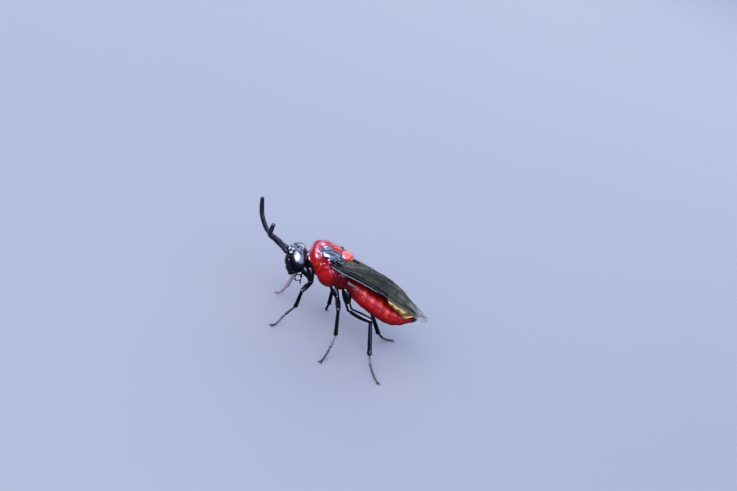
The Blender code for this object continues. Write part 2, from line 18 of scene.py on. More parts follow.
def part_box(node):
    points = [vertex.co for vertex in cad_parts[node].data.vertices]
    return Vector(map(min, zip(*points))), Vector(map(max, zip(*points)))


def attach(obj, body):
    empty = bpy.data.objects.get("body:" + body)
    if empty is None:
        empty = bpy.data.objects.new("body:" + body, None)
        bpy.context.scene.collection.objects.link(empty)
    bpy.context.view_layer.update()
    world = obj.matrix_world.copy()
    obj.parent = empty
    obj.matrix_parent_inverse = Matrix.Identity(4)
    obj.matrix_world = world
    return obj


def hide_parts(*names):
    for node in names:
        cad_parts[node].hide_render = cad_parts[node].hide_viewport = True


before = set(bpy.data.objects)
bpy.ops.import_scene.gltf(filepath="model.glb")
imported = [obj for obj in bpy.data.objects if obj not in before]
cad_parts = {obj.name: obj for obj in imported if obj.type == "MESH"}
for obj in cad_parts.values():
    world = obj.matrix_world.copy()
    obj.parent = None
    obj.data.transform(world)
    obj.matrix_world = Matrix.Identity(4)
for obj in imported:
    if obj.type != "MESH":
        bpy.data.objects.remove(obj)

Array = np.ndarray
Row = Sequence[float]
Rows = Sequence[Row]
Lines = Sequence[tuple[float, float, Rows]]
Colour = tuple[float, float, float]
Piece = bpy.types.Object
Material = bpy.types.Material

LOG = logging.getLogger("sawfly")
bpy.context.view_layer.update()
LOW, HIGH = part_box("thorax")
MM = 0.001
THORAX_REAR = 1.42
SHIFT = np.array((HIGH.x / MM - THORAX_REAR, (LOW.y + HIGH.y) / 2 / MM, 0.0))
FLOOR_GAP = 0.004
HEAD_CENTRE = np.array((-2.44, 0.0, 4.4))
HEAD_TURN = (-6.0, 0.0, 5.0)
PHOTO_SIZE = (737, 491)
UP = np.array((0.0, 0.0, 1.0))
TABLE_SPANS = 12
SEAM_SPANS = 5
LOBE_STEPS = (40, 26)
ROD_TIP = 0.6
GLOSS_SLOPE = (0.15, 0.42)


class Slot(Enum):
    """Material slots of the record."""

    RED = "cuticle_red"
    BLACK = "cuticle_black"
    EYE = "eye_black"
    SMOKY = "wing_smoky"
    AMBER = "wing_amber"


class Side(IntEnum):
    """Sides of the animal, by the sign of Y."""

    LEFT = -1
    RIGHT = 1


def ease(value: Array | float, low: float, high: float) -> Array:
    """Eases from 0 where the value is low to 1 where it is high."""
    t = np.clip((np.asarray(value, float) - low) / (high - low), 0.0, 1.0)
    return t * t * (3.0 - 2.0 * t)


def bell(value: Array | float, width: float) -> Array:
    """Gives a soft peak of height 1 round 0."""
    return np.exp(-((np.asarray(value, float) / width) ** 2))


def unit(vector: Array) -> Array:
    """Gives a vector's direction."""
    return vector / np.linalg.norm(vector)


def units(rows: Array, spare: float = 0.0) -> Array:
    """Gives each row's direction, with a spare length where a row may be empty."""
    return rows / (np.linalg.norm(rows, axis=1)[:, None] + spare)


def turn(degrees: Row) -> Array:
    """Gives the matrix of turns about X, then Y, then Z."""
    x, y, z = (Matrix.Rotation(math.radians(d), 3, axis) for d, axis in zip(degrees, "XYZ"))
    return np.array(z @ (y @ x))


def roll_head(points: Rows, back: bool = False) -> Array:
    """Turns points with the head, right side down and face to the left, or back again."""
    spin = turn(HEAD_TURN) if back else turn(HEAD_TURN).T
    return (np.asarray(points, float) - HEAD_CENTRE) @ spin + HEAD_CENTRE


def smooth_line(points: Rows, spans: int) -> Array:
    """Draws a smooth curve through a few points.

    Args:
        points: The points that it passes.
        spans: Steps between two of them.

    Returns:
        The points of the curve, one row each.
    """
    p = np.asarray(points, float)
    t = np.linspace(0.0, 1.0, spans, endpoint=False)[:, None]
    rows = []
    for a, b, c, d in zip([p[0], *p], p, p[1:], [*p[2:], p[-1]]):
        rows.append(0.5 * (2 * b + (c - a) * t + (2 * a - 5 * b + 4 * c - d) * t**2
                           + (3 * b - a - 3 * c + d) * t**3))
    return np.vstack([*rows, p[-1:]])


def along_table(table: Rows, x: Array | float) -> Array:
    """Reads the height at x from a smooth view with rows of place and height."""
    rows = smooth_line(table, TABLE_SPANS)
    return np.interp(x, rows[:, 0], rows[:, 1])


def travel(line: Array) -> Array:
    """Gives the way along a line to each of its points."""
    return np.concatenate([[0.0], np.cumsum(np.linalg.norm(np.diff(line, axis=0), axis=1))])


def line_distance(points: Array, line: Array) -> Array:
    """Gives the distance from points to a line.

    Args:
        points: Points of the plan or of space.
        line: Corners of the line.

    Returns:
        The distance of each point.
    """
    best = np.full(len(points), np.inf)
    for a, b in zip(line, line[1:]):
        run = b - a
        t = np.clip(((points - a) @ run) / run.dot(run), 0.0, 1.0)
        best = np.minimum(best, np.linalg.norm(points - a - t[:, None] * run, axis=1))
    return best


def region(points: Array, outline: Rows, soft: float) -> Array:
    """Tells which points of the plan lie inside a closed outline.

    Args:
        points: Points of the plan.
        outline: Its corners.
        soft: How wide its edge fades.

    Returns:
        1 inside and 0 outside, with a soft edge.
    """
    corners = np.array(outline)
    x, y = points.T
    inside = np.zeros(len(points), bool)
    for (ax, ay), (bx, by) in zip(corners, np.roll(corners, -1, axis=0)):
        if ay != by:
            inside ^= ((ay > y) != (by > y)) & (x < (bx - ax) * (y - ay) / (by - ay) + ax)
    away = line_distance(points, np.vstack([corners, corners[:1]]))
    return ease(np.where(inside, away, -away), -soft, soft)


@dataclass
class Shell:
    """A closed surface of points and faces."""

    points: Array
    faces: list[tuple[int, ...]]

    def placed(self, change: Callable[[Array], Array]) -> "Shell":
        """Gives the shell with its points changed."""
        return Shell(change(self.points), self.faces)


def loft(rings: Sequence[Array], nose: Row, tail: Row) -> Shell:
    """Closes rings of points into a shell.

    Args:
        rings: Rings with the same number of points.
        nose: The point before the first ring.
        tail: The point after the last ring.

    Returns:
        The shell.
    """
    sides = len(rings[0])
    end, first = (len(rings) - 1) * sides, len(rings) * sides
    near = np.arange(sides)
    far = (near + 1) % sides
    faces = []
    for a in range(0, end, sides):
        faces += list(zip(a + near, a + far, a + sides + far, a + sides + near))
    faces += list(zip(np.full(sides, first), far, near))
    faces += list(zip(np.full(sides, first + 1), end + near, end + far))
    return Shell(np.vstack([*rings, [nose], [tail]]), faces)


def ball(sides: int, levels: int, blunt: float = 1.0) -> Shell:
    """Makes a ball of radius 1.

    Args:
        sides: Points round it.
        levels: Rings from pole to pole, the poles among them.
        blunt: The power of its outline, where less than 1 is squarer.

    Returns:
        The shell.
    """
    around = np.linspace(0.0, 2 * math.pi, sides, endpoint=False)
    rings = []
    for rise in np.linspace(-math.pi / 2, math.pi / 2, levels)[1:-1]:
        wide, level = np.cos(rise) ** blunt, np.full(sides, np.sin(rise))
        rings.append(np.stack([wide * np.cos(around), wide * np.sin(around), level], 1))
    return loft(rings, (0.0, 0.0, -1.0), (0.0, 0.0, 1.0))


def lobe(centre: Row, half: Row, degrees: Row = (0, 0, 0)) -> Shell:
    """Makes an egg from its half axes, turned about X, Y and Z."""
    return ball(*LOBE_STEPS).placed(lambda p: (p * half) @ turn(degrees).T + centre)


def lobes(table: Rows, origin: Row = (0, 0, 0)) -> list[Shell]:
    """Makes the eggs of a table, on both sides where they stand off the middle.

    Args:
        table: Rows of centre, half axes and, where there are any, turns about X, Y and Z.
        origin: Where the centres are measured from.

    Returns:
        The shells.
    """
    made = []
    for row in table:
        (x, y, z), (a, b, c) = row[:3], row[6:] or (0, 0, 0)
        for flip in (1, -1) if y else (1,):
            centre = np.add(origin, (x, flip * y, z))
            made.append(lobe(centre, row[3:6], (flip * a, b, flip * c)))
    return made


def rod(path: Rows, radii: Row, sides: int = 20, flat: float = 1.0) -> Shell:
    """Makes a tapered rod along a path.

    Args:
        path: Its middle line.
        radii: Its radius at each point.
        sides: Points round it.
        flat: Its thickness across the steadier direction, as a share of its width.

    Returns:
        The shell.
    """
    path = np.asarray(path, float)
    side = np.array((0.31, 0.87, 0.38))
    around = np.linspace(0.0, 2 * math.pi, sides, endpoint=False)
    rings = []
    for i, radius in enumerate(radii):
        run = unit(path[min(i + 1, len(path) - 1)] - path[max(i - 1, 0)])
        side = unit(side - side.dot(run) * run)
        across = flat * np.outer(np.sin(around), np.cross(run, side))
        rings.append(path[i] + radius * (np.outer(np.cos(around), side) + across))
    tips = (path[i] + unit(path[i] - path[j]) * radii[i] * ROD_TIP for i, j in ((0, 1), (-1, -2)))
    return loft(rings, *tips)


def join(name: str, shells: Sequence[Shell]) -> Piece:
    """Adds shells to the scene as one piece.

    Args:
        name: The piece's name.
        shells: What goes in.

    Returns:
        The piece, in the shells' own units.
    """
    points, faces, start = [], [], 0
    for shell in shells:
        points.append(shell.points)
        faces += [tuple(int(i) + start for i in face) for face in shell.faces]
        start += len(shell.points)
    mesh = bpy.data.meshes.new(name)
    mesh.from_pydata(np.vstack(points).tolist(), [], faces)
    mesh.update()
    piece = bpy.data.objects.new(name, mesh)
    bpy.context.scene.collection.objects.link(piece)
    return piece


def read(items: bpy.types.bpy_prop_collection, key: str, wide: int,
         kind: type = np.float32) -> Array:
    """Reads one property of all points, edges or faces of a mesh.

    Args:
        items: The points, edges or faces.
        key: The property.
        wide: How many numbers each has.
        kind: The type of the numbers.

    Returns:
        A row for each item.
    """
    found = np.empty(len(items) * wide, kind)
    items.foreach_get(key, found)
    return found.reshape(-1, wide)


class Surface:
    """A piece's mesh, whose points are moved and marked as arrays."""

    def __init__(self, piece: Piece) -> None:
        """Reads the mesh.

        Args:
            piece: The piece to work on.
        """
        self.mesh = piece.data
        self.points = read(self.mesh.vertices, "co", 3).astype(float)
        self.edges = read(self.mesh.edges, "vertices", 2, np.int32)

    def relax(self, rounds: int) -> None:
        """Smooths the points by moving each half way to the middle of its neighbours.

        Args:
            rounds: How many times.
        """
        a, b = self.edges.T
        count = len(self.points)
        degree = np.bincount(self.edges.ravel(), minlength=count)[:, None].astype(float)
        for _ in range(rounds):
            total = [np.bincount(a, v[b], count) + np.bincount(b, v[a], count)
                     for v in self.points.T]
            self.points += 0.5 * (np.stack(total, 1) / degree - self.points)

    def normals(self) -> Array:
        """Gives the outward direction at each point."""
        self.store()
        return read(self.mesh.vertex_normals, "vector", 3).astype(float)

    def store(self) -> None:
        """Writes the points back to the mesh."""
        self.mesh.vertices.foreach_set("co", self.points.astype(np.float32).ravel())
        self.mesh.update()

    def mark(self, name: str, values: Array) -> None:
        """Stores a number between 0 and 1 at each point for the material to read."""
        made = self.mesh.attributes.new(name, "FLOAT", "POINT")
        made.data.foreach_set("value", np.clip(values, 0, 1).astype(np.float32))


def fuse(name: str, shells: Sequence[Shell], voxel: float, rounds: int = 1) -> Piece:
    """Melts overlapping shells into one even skin that stays above the floor.

    Args:
        name: The piece's name.
        shells: What is melted together.
        voxel: The size of its faces, in millimetres.
        rounds: How often it is smoothed.

    Returns:
        The piece, still in millimetres.
    """
    piece = join(name, shells)
    remesh = piece.modifiers.new("skin", "REMESH")
    remesh.mode = "VOXEL"
    remesh.voxel_size = voxel
    graph = bpy.context.evaluated_depsgraph_get()
    piece.data = bpy.data.meshes.new_from_object(piece.evaluated_get(graph))
    piece.modifiers.clear()
    surface = Surface(piece)
    surface.relax(rounds)
    surface.points[:, 2] = np.maximum(surface.points[:, 2], FLOOR_GAP)
    surface.store()
    return piece


class Wire:
    """One socket of a tree of nodes, on which Python's operators add Math nodes."""

    def __init__(self, graph: "Graph", socket: bpy.types.NodeSocket) -> None:
        """Wraps a socket of a tree."""
        self.graph = graph
        self.socket = socket

    def math(self, operation: str, *inputs: "float | Wire") -> "Wire":
        """Adds a Math node of the same tree."""
        return self.graph.node("ShaderNodeMath", {"operation": operation}, inputs)

    def __add__(self, other: "float | Wire") -> "Wire":
        """Adds."""
        return self.math("ADD", self, other)

    def __sub__(self, other: "float | Wire") -> "Wire":
        """Takes away."""
        return self.math("SUBTRACT", self, other)

    def __rsub__(self, other: float) -> "Wire":
        """Takes this from a number."""
        return self.math("SUBTRACT", other, self)

    def __mul__(self, other: "float | Wire") -> "Wire":
        """Multiplies."""
        return self.math("MULTIPLY", self, other)

    __radd__ = __add__
    __rmul__ = __mul__

    def eased(self, low: float, high: float) -> "Wire":
        """Eases from 0 at low to 1 at high."""
        inputs = {"Value": self, "From Min": low, "From Max": high}
        return self.graph.node("ShaderNodeMapRange", {"interpolation_type": "SMOOTHSTEP"}, inputs)


Value = float | Row | Wire


class Graph:
    """A tree of nodes to which nodes are added."""

    def __init__(self, tree: bpy.types.NodeTree) -> None:
        """Starts with the tree as it is."""
        self.tree = tree

    def node(self, kind: str, settings: dict[str, object],
             inputs: Sequence[Value] | dict[str | int, Value], output: int | str = 0) -> Wire:
        """Adds a node.

        Args:
            kind: Its type.
            settings: Its own settings, set first.
            inputs: Values or links of its sockets, in order or by name.
            output: The socket to give back.

        Returns:
            That socket.
        """
        made = self.tree.nodes.new(kind)
        for key, value in settings.items():
            setattr(made, key, value)
        for key, value in inputs.items() if isinstance(inputs, dict) else enumerate(inputs):
            if isinstance(value, Wire):
                self.tree.links.new(value.socket, made.inputs[key])
            else:
                made.inputs[key].default_value = value
        return Wire(self, made.outputs[output])

    def mix(self, share: float | Wire, *ends: Colour | Wire) -> Wire:
        """Mixes two colours."""
        a, b = (end if isinstance(end, Wire) else (*end, 1.0) for end in ends)
        return self.node("ShaderNodeMix", {"data_type": "RGBA"}, {0: share, 6: a, 7: b}, 2)


class Paint(Graph):
    """A material that is put together from its nodes."""

    def __init__(self, name: str, **constants: Value) -> None:
        """Starts a material.

        Args:
            name: Its name.
            constants: Values of the shader's own sockets, with _ for a space.
        """
        self.material = bpy.data.materials.new(name)
        self.material.use_nodes = True
        super().__init__(self.material.node_tree)
        self.sockets = self.tree.nodes["Principled BSDF"].inputs
        for key, value in constants.items():
            self.sockets[key.replace("_", " ")].default_value = value

    def mark(self, name: str) -> Wire:
        """Reads a mark stored on the mesh."""
        return self.node("ShaderNodeAttribute", {"attribute_name": name}, [], "Fac")

    def texture(self, kind: str, size: float, output: str, **inputs: float) -> Wire:
        """Gives a texture whose lumps have a size in millimetres."""
        place = self.node("ShaderNodeTexCoord", {}, [], "Object")
        return self.node(kind, {}, {"Vector": place, "Scale": 1.0 / (size * MM), **inputs}, output)

    def noise(self, size: float, detail: float = 3.0) -> Wire:
        """Gives soft noise."""
        return self.texture("ShaderNodeTexNoise", size, "Fac", Detail=detail)

    def cells(self, size: float, randomness: float = 1.0) -> Wire:
        """Gives the distance to the nearest of scattered points."""
        return self.texture("ShaderNodeTexVoronoi", size, "Distance", Randomness=randomness)

    def bump(self, height: Wire, depth: float, strength: float) -> None:
        """Feeds a relief of a depth in millimetres to the shader."""
        inputs = {"Strength": strength, "Distance": depth * MM, "Height": height}
        self.feed(Normal=self.node("ShaderNodeBump", {}, inputs))

    def feed(self, **wires: Wire) -> None:
        """Links sockets to the shader, with _ for a space."""
        for key, wire in wires.items():
            self.tree.links.new(wire.socket, self.sockets[key.replace("_", " ")])


def shade(colour: Colour, share: float) -> Colour:
    """Gives a darker or lighter tone of a colour."""
    return tuple(share * c for c in colour)


@dataclass(frozen=True)
class Cuticle:
    """Shell of the body: glossy red with black plates, painted shade and painted highlights."""

    red: Colour = (0.25, 0.0035, 0.007)
    # Dark red of the painted shade.
    painted_shade: Colour = (0.048, 0.002, 0.003)
    orange: Colour = (0.5, 0.075, 0.018)
    black: Colour = (0.0025, 0.0022, 0.004)
    # Pale pink of the painted highlights.
    pale: Colour = (0.4, 0.24, 0.24)

    def material(self, name: str) -> Material:
        """Builds the material.

        Args:
            name: Its name.

        Returns:
            The material.
        """
        paint = Paint(name, IOR=1.5, Specular_IOR_Level=0.08, Coat_Roughness=0.1, Coat_IOR=2.3)
        black, orange, painted_shade, gloss, pale, soft = (
            paint.mark(mark) for mark in ("black", "orange", "painted_shade", "gloss", "pale", "soft"))
        cloud = paint.noise(0.45)
        patches = paint.noise(0.16, 2.0).eased(0.32, 0.62)
        red = paint.mix(cloud.eased(0.35, 0.75) * 0.5, self.red, shade(self.red, 0.7))
        red = paint.mix(orange * (0.35 + 0.75 * patches), red, self.orange)
        # Painted shade: the red is darkened where the shade mark says.
        red = paint.mix(painted_shade * (0.8 + 0.4 * cloud), red, self.painted_shade)
        # Painted highlights: the red is lightened to pale pink where the pale mark says.
        red = paint.mix(pale, red, self.pale)
        pits = paint.cells(0.05)
        grain = paint.noise(0.02, 2.0)
        # Less coat where shade is painted, and coat only on faces that point up, so shaded places
        # and undersides show few reflections.
        coat = gloss * (0.62 + 0.36 * black) * (1.0 - 0.7 * painted_shade) * (1.0 - 0.75 * soft) + 0.02
        paint.feed(Base_Color=paint.mix(black, red, self.black), Roughness=0.3 + 0.14 * grain,
                   Coat_Weight=coat)
        paint.bump(pits.eased(0.0, 0.5) * 0.6 + grain * 0.4, 0.003, 0.6)
        return paint.material


@dataclass(frozen=True)
class Jet:
    """Glossy blue-black shell of the legs, feelers and veins."""

    colour: Colour = (0.0025, 0.0022, 0.004)
    worn: Colour = (0.013, 0.01, 0.011)
    rough: float = 0.32
    coat: float = 0.8
    pit: float = 0.035
    depth: float = 0.006
    # Colour of a painted pale reflection on the marked lower leg.
    shin: Colour | None = None

    def material(self, name: str) -> Material:
        """Builds the material.

        Args:
            name: Its name.

        Returns:
            The material.
        """
        paint = Paint(name, IOR=1.5, Specular_IOR_Level=0.05, Coat_Roughness=0.15, Coat_IOR=1.9)
        cloud = paint.noise(0.12)
        colour = paint.mix(cloud.eased(0.45, 0.8), self.colour, self.worn)
        # Paints the pale reflection of the sky on the marked lower leg.
        if self.shin is not None:
            colour = paint.mix(paint.mark("shin") * (0.7 + 0.5 * cloud), colour, self.shin)
        paint.feed(Base_Color=colour, Roughness=self.rough + 0.2 * cloud,
                   Coat_Weight=(self.coat * paint.mark("gloss")) * (1.3 - 0.6 * cloud))
        paint.bump(paint.cells(self.pit).eased(0.0, 0.6), self.depth, 0.7)
        return paint.material


@dataclass(frozen=True)
class EyeGlaze:
    """Compound eye: black, finely faceted and glossy."""

    colour: Colour = (0.002, 0.002, 0.004)
    facet: float = 0.028

    def material(self, name: str) -> Material:
        """Builds the material.

        Args:
            name: Its name.

        Returns:
            The material.
        """
        paint = Paint(name, IOR=1.5, Specular_IOR_Level=0.05, Coat_Roughness=0.16, Coat_IOR=2.4)
        cloud = paint.noise(0.4)
        paint.feed(Base_Color=paint.mix(cloud, self.colour, shade(self.colour, 2.2)),
                   Roughness=0.34 + 0.12 * cloud,
                   Coat_Weight=paint.mark("gloss") * (0.85 + 0.15 * cloud))
        paint.bump(paint.cells(self.facet, 0.15).eased(0.1, 0.7), 0.0015, 0.5)
        return paint.material


@dataclass(frozen=True)
class Film:
    """Wing membrane: smoky and half clear."""

    smoky: Colour = (0.03, 0.031, 0.018)
    dark: Colour = (0.004, 0.003, 0.003)
    # Pale tone of the forewing's paler tip and of the painted glints near its base.
    pale: Colour = (0.26, 0.24, 0.16)
    body: float = 0.9
    tip: float = 0.26

    def material(self, name: str) -> Material:
        """Builds the material.

        Args:
            name: Its name.

        Returns:
            The material.
        """
        paint = Paint(name, IOR=1.45, Specular_IOR_Level=0.1, Coat_Roughness=0.14, Coat_IOR=1.6)
        dark, pale, thin = (paint.mark(mark) for mark in ("dark", "pale", "thin"))
        cloud = paint.noise(0.5, 4.0)
        fine = paint.noise(0.06)
        colour = paint.mix(cloud.eased(0.3, 0.8), self.smoky, shade(self.smoky, 1.7))
        colour = paint.mix(dark, paint.mix(pale, colour, self.pale), self.dark)
        alpha = self.body + (self.tip - self.body) * thin + dark * 0.5
        glints = (cloud * fine).eased(0.26, 0.4)
        paint.feed(Base_Color=colour, Roughness=0.24 + 0.18 * cloud,
                   Coat_Weight=0.02 + 0.45 * glints * (1.0 - 0.8 * thin),
                   Alpha=alpha.math("MINIMUM", alpha, 1.0))
        paint.bump(cloud * 0.6 + fine * 0.4, 0.02, 0.6)
        return paint.material


def dress(piece: Piece, finish: Cuticle | Jet | EyeGlaze | Film, slot: Slot,
          *stands_for: str) -> Piece:
    """Lays a piece over the frame and gives it its finish.

    Args:
        piece: The piece, in design millimetres.
        finish: Its finish.
        slot: The record's slot that the finish belongs to; it is not used.
        stands_for: The solids that it replaces.

    Returns:
        The piece.
    """
    surface = Surface(piece)
    # Painted light: the coat is marked only on faces that point up, so undersides show little
    # reflection of the floor and look shaded while tops keep the sky's reflections.
    surface.mark("gloss", ease(surface.normals()[:, 2], *GLOSS_SLOPE))
    piece.data.transform(Matrix.Scale(MM, 4) @ Matrix.Translation(Vector(SHIFT)))
    piece.data.materials.append(finish.material(piece.name))
    piece.data.shade_smooth()
    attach(piece, "root")
    if stands_for:
        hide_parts(*stands_for)
    LOG.info("%s: %d faces", piece.name, len(piece.data.polygons))
    return piece


@dataclass
class Body:
    """Head, thorax and abdomen as one skin."""

    voxel: float = 0.031
    sides: int = 96
    rings: int = 90
    blunt: float = 0.92
    segments: int = 8
    abdomen_root: float = 0.8
    abdomen_front: float = 1.67
    abdomen_rear: float = 6.92
    top: Rows = (
        (0.6, 5.05), (1.6, 4.98), (2.6, 4.86), (4.0, 4.54), (5.0, 4.22), (6.0, 3.92), (6.92, 3.72),
    )
    base: Rows = (
        (0.6, 4.0), (1.6, 3.72), (2.6, 3.22), (3.6, 2.92), (5.1, 2.62), (6.0, 2.84), (6.92, 3.52),
    )
    width: Rows = (
        (0.6, 0.8), (1.6, 1.02), (2.6, 1.2), (3.6, 1.31), (4.6, 1.26), (5.5, 1.04), (6.3, 0.66),
        (6.92, 0.2),
    )
    head: Rows = (
        (-0.03, 0, 0.05, 0.64, 1.1, 0.98), (-0.02, 0, 0.48, 0.43, 0.96, 0.55),
        (-0.34, 0, -0.06, 0.4, 0.72, 0.84), (-0.12, 0, -0.74, 0.38, 0.6, 0.34),
        (-0.16, 0, -0.98, 0.28, 0.42, 0.2, 0, 16, 0),
        (-0.06, 0, -1.16, 0.18, 0.26, 0.12, 0, 24, 0), (0.12, 0, -0.62, 0.42, 0.72, 0.5),
        (-0.66, 0, 0.16, 0.17, 0.09, 0.42, 0, -8, 0), (-0.64, -0.32, 0.25, 0.19, 0.2, 0.2),
        (-0.52, -0.3, 0.56, 0.2, 0.13, 0.16, 0, -30, 0),
    )
    jaw: Rows = ((0.12, 0.56, -0.84), (-0.04, 0.46, -1.12), (-0.04, 0.1, -1.28))
    thorax: Rows = (
        (-0.25, 0, 5.0, 1.5, 1.2, 1.18, 0, -14, 0), (-1.14, 0, 5.36, 0.68, 1.12, 0.9, 0, -24, 0),
        (-0.9, 0, 5.83, 0.8, 0.52, 0.67, 0, -6, 0), (-0.34, 0, 5.86, 0.84, 0.28, 0.61, 0, 3, 0),
        (-0.4, -0.62, 5.64, 0.86, 0.5, 0.54, 18, 2, 6),
        (-1.2, -0.8, 5.28, 0.42, 0.44, 0.6, 0, -20, 0),
        (0.66, 0, 5.94, 0.54, 0.48, 0.38, 0, 10, 0),
        (0.6, -0.28, 5.91, 0.34, 0.26, 0.27, 0, 10, 0), (0.98, 0, 5.24, 0.62, 1.0, 0.58),
        (0.0, -0.54, 4.56, 0.86, 0.8, 1.02, 0, -20, 0),
        (-0.3, -0.7, 4.98, 0.58, 0.54, 0.5, 0, 30, 0),
        (0.9, -0.62, 4.55, 0.56, 0.56, 0.84, 0, -12, 0), (1.02, 0, 4.52, 0.8, 1.02, 0.94),
        (-1.46, -0.36, 4.6, 0.44, 0.38, 0.62, 0, -20, 0),
        (-0.4, -1.14, 5.66, 0.24, 0.2, 0.17, 0, 14, -8),
    )
    neck: Rows = ((-1.2, 0, 5.0), (-1.66, 0, 4.92), (-2.2, 0, 4.84))
    shield: Rows = (
        (-1.23, 0.8), (-1.25, 0.62), (-1.18, 0.48), (-0.98, 0.37), (-0.58, 0.3), (-0.14, 0.25),
        (0.28, 0.24), (0.44, 0.46), (0.34, 0.86), (0.05, 1.06), (-0.35, 1.24), (-0.72, 1.16),
        (-1.02, 0.99),
    )
    axilla: Rows = (
        (-0.3, 5.66), (0.0, 5.5), (0.6, 5.46), (1.3, 5.4), (1.3, 5.95), (0.9, 5.98), (0.4, 6.06),
        (-0.3, 5.86),
    )
    black_front: Rows = (
        (3.4, -0.7), (4.0, -0.86), (4.4, -1.02), (4.7, -1.22), (4.83, -1.44), (4.95, -1.64),
        (5.1, -1.82), (5.6, -1.88),
    )
    collar: Rows = (
        (-1.8, -0.05, 5.2), (-1.77, -0.25, 5.13), (-1.66, -0.54, 5.01), (-1.52, -0.68, 4.86),
    )
    side_seams: Lines = (
        (0.045, 0.075, ((-0.25, 5.8), (-0.5, 5.66), (-0.77, 5.36), (-0.94, 5.1), (-1.0, 4.75),
            (-0.98, 4.38), (-0.8, 3.95))),
        (0.026, 0.03, ((-0.36, 5.42), (-0.11, 5.12), (0.18, 4.8))),
        (0.026, 0.03, ((-0.1, 5.46), (0.14, 5.2), (0.38, 4.92))),
        (0.05, 0.08, ((0.22, 5.6), (0.55, 5.14), (0.78, 4.62), (0.76, 4.05), (0.56, 3.6))),
        (0.034, 0.04, ((1.02, 5.4), (1.22, 4.8), (1.24, 4.2), (1.05, 3.8))),
        (0.03, 0.03, ((-0.92, 4.52), (-0.4, 4.02), (0.2, 3.78), (0.7, 3.86))),
    )
    back_seams: Lines = (
        (0.03, 0.038, ((-1.3, -0.74), (-1.26, -0.54), (-1.04, -0.36), (-0.6, -0.27),
            (-0.14, -0.21), (0.3, -0.19))),
        (0.03, 0.035, ((0.2, 0.0), (0.24, -0.26), (0.32, -0.5), (0.48, -0.62))),
        (0.022, 0.022, ((-1.52, 0.0), (-0.6, 0.0), (0.2, 0.0))),
    )
    welts: Lines = (
        (0.04, 0.04, ((-1.14, -0.86, 5.92), (-0.84, -1.08, 5.84), (-0.5, -1.18, 5.83),
            (-0.2, -1.1, 5.86), (0.08, -0.96, 5.96), (0.36, -0.78, 5.98))),
        (0.06, 0.045, ((-1.74, 0.0, 5.72), (-1.76, -0.38, 5.58), (-1.62, -0.8, 5.36),
            (-1.4, -1.12, 5.1), (-1.2, -1.16, 4.9))),
        (0.04, 0.03, ((-0.48, -1.2, 5.56), (-0.25, -1.24, 5.44), (0.0, -1.22, 5.5))),
    )

    def shells(self) -> list[Shell]:
        """Makes the head with its jaws, the thorax and neck, and the bare abdomen.

        Returns:
            Shells in design millimetres.
        """
        head = lobes(self.head, HEAD_CENTRE)
        for side in Side:
            jaw = smooth_line(HEAD_CENTRE + np.array(self.jaw) * (1, side, 1), 6)
            head.append(rod(jaw, np.linspace(0.17, 0.06, len(jaw))))
        head = [shell.placed(roll_head) for shell in head]
        return [*head, *lobes(self.thorax), rod(self.neck, (0.46, 0.3, 0.34)), self.abdomen()]

    def abdomen(self) -> Shell:
        """Makes the abdomen before its rings are cut.

        Returns:
            A shell that starts inside the thorax.
        """
        around = np.linspace(0.0, 2 * math.pi, self.sides, endpoint=False)
        c, s = np.cos(around), np.sin(around)
        rings = []
        for x in np.linspace(self.abdomen_root, self.abdomen_rear, self.rings):
            top, base, wide = (along_table(t, x) for t in (self.top, self.base, self.width))
            y = wide * np.sign(c) * np.abs(c) ** self.blunt
            z = (top + base) / 2 + (top - base) / 2 * np.sign(s) * np.abs(s) ** self.blunt
            rings.append(np.stack([np.full(self.sides, x), y, z], 1))
        ends = ((self.abdomen_root, -0.1), (self.abdomen_rear, 0.05))
        tips = ((x + out, 0, (along_table(self.top, x) + along_table(self.base, x)) / 2)
                for x, out in ends)
        return loft(rings, *tips)

    def ring_place(self, p: Array) -> tuple[Array, Array]:
        """Finds where points lie along and around the abdomen.

        Args:
            p: Points of the skin.

        Returns:
            The place within the ring, 0 to 1, and the height in the side view, -1 to 1.
        """
        top, base = along_table(self.top, p[:, 0]), along_table(self.base, p[:, 0])
        height = (p[:, 2] - (top + base) / 2) / ((top - base) / 2)
        wave = 0.05 * height + 0.03 * np.cos(3.0 * height)
        length = self.abdomen_rear - self.abdomen_front
        share = np.clip((p[:, 0] + wave - self.abdomen_front) / length, 0.0, 0.999)
        ring = (share ** (1 / 0.94)) * self.segments
        return ring - np.floor(ring), height

    def abdomen_relief(self, p: Array) -> Array:
        """Gives the height of the overlapping rings and of the folds along the flank.

        Args:
            p: Points of the skin.

        Returns:
            The height at each, in millimetres.
        """
        place, height = self.ring_place(p)
        x = p[:, 0]
        step = 0.016 * ease(place, 0.0, 0.7) - 0.019 * ease(place, 0.9, 0.99)
        fold = (-0.03 * bell(height + 0.4 + 0.03 * np.sin(x * 5.0), 0.07)
                - 0.016 * bell(height + 0.74, 0.05))
        swell = 0.026 * bell(height + 0.58, 0.16) * np.sin(math.pi * place)
        dimple = (-0.022 * bell(place - 0.45, 0.16)
                  * bell(height - 0.26 - 0.05 * np.sin(x * 7.0), 0.1))
        wrinkle = (0.004 * np.sin(place * 17.0 + height * 9.0) * np.sin(height * 14.0 + x * 3.0))
        return (ease(x, 1.35, 1.75) * ease(x, 6.95, 6.3)) * (step + fold + swell + dimple + wrinkle)

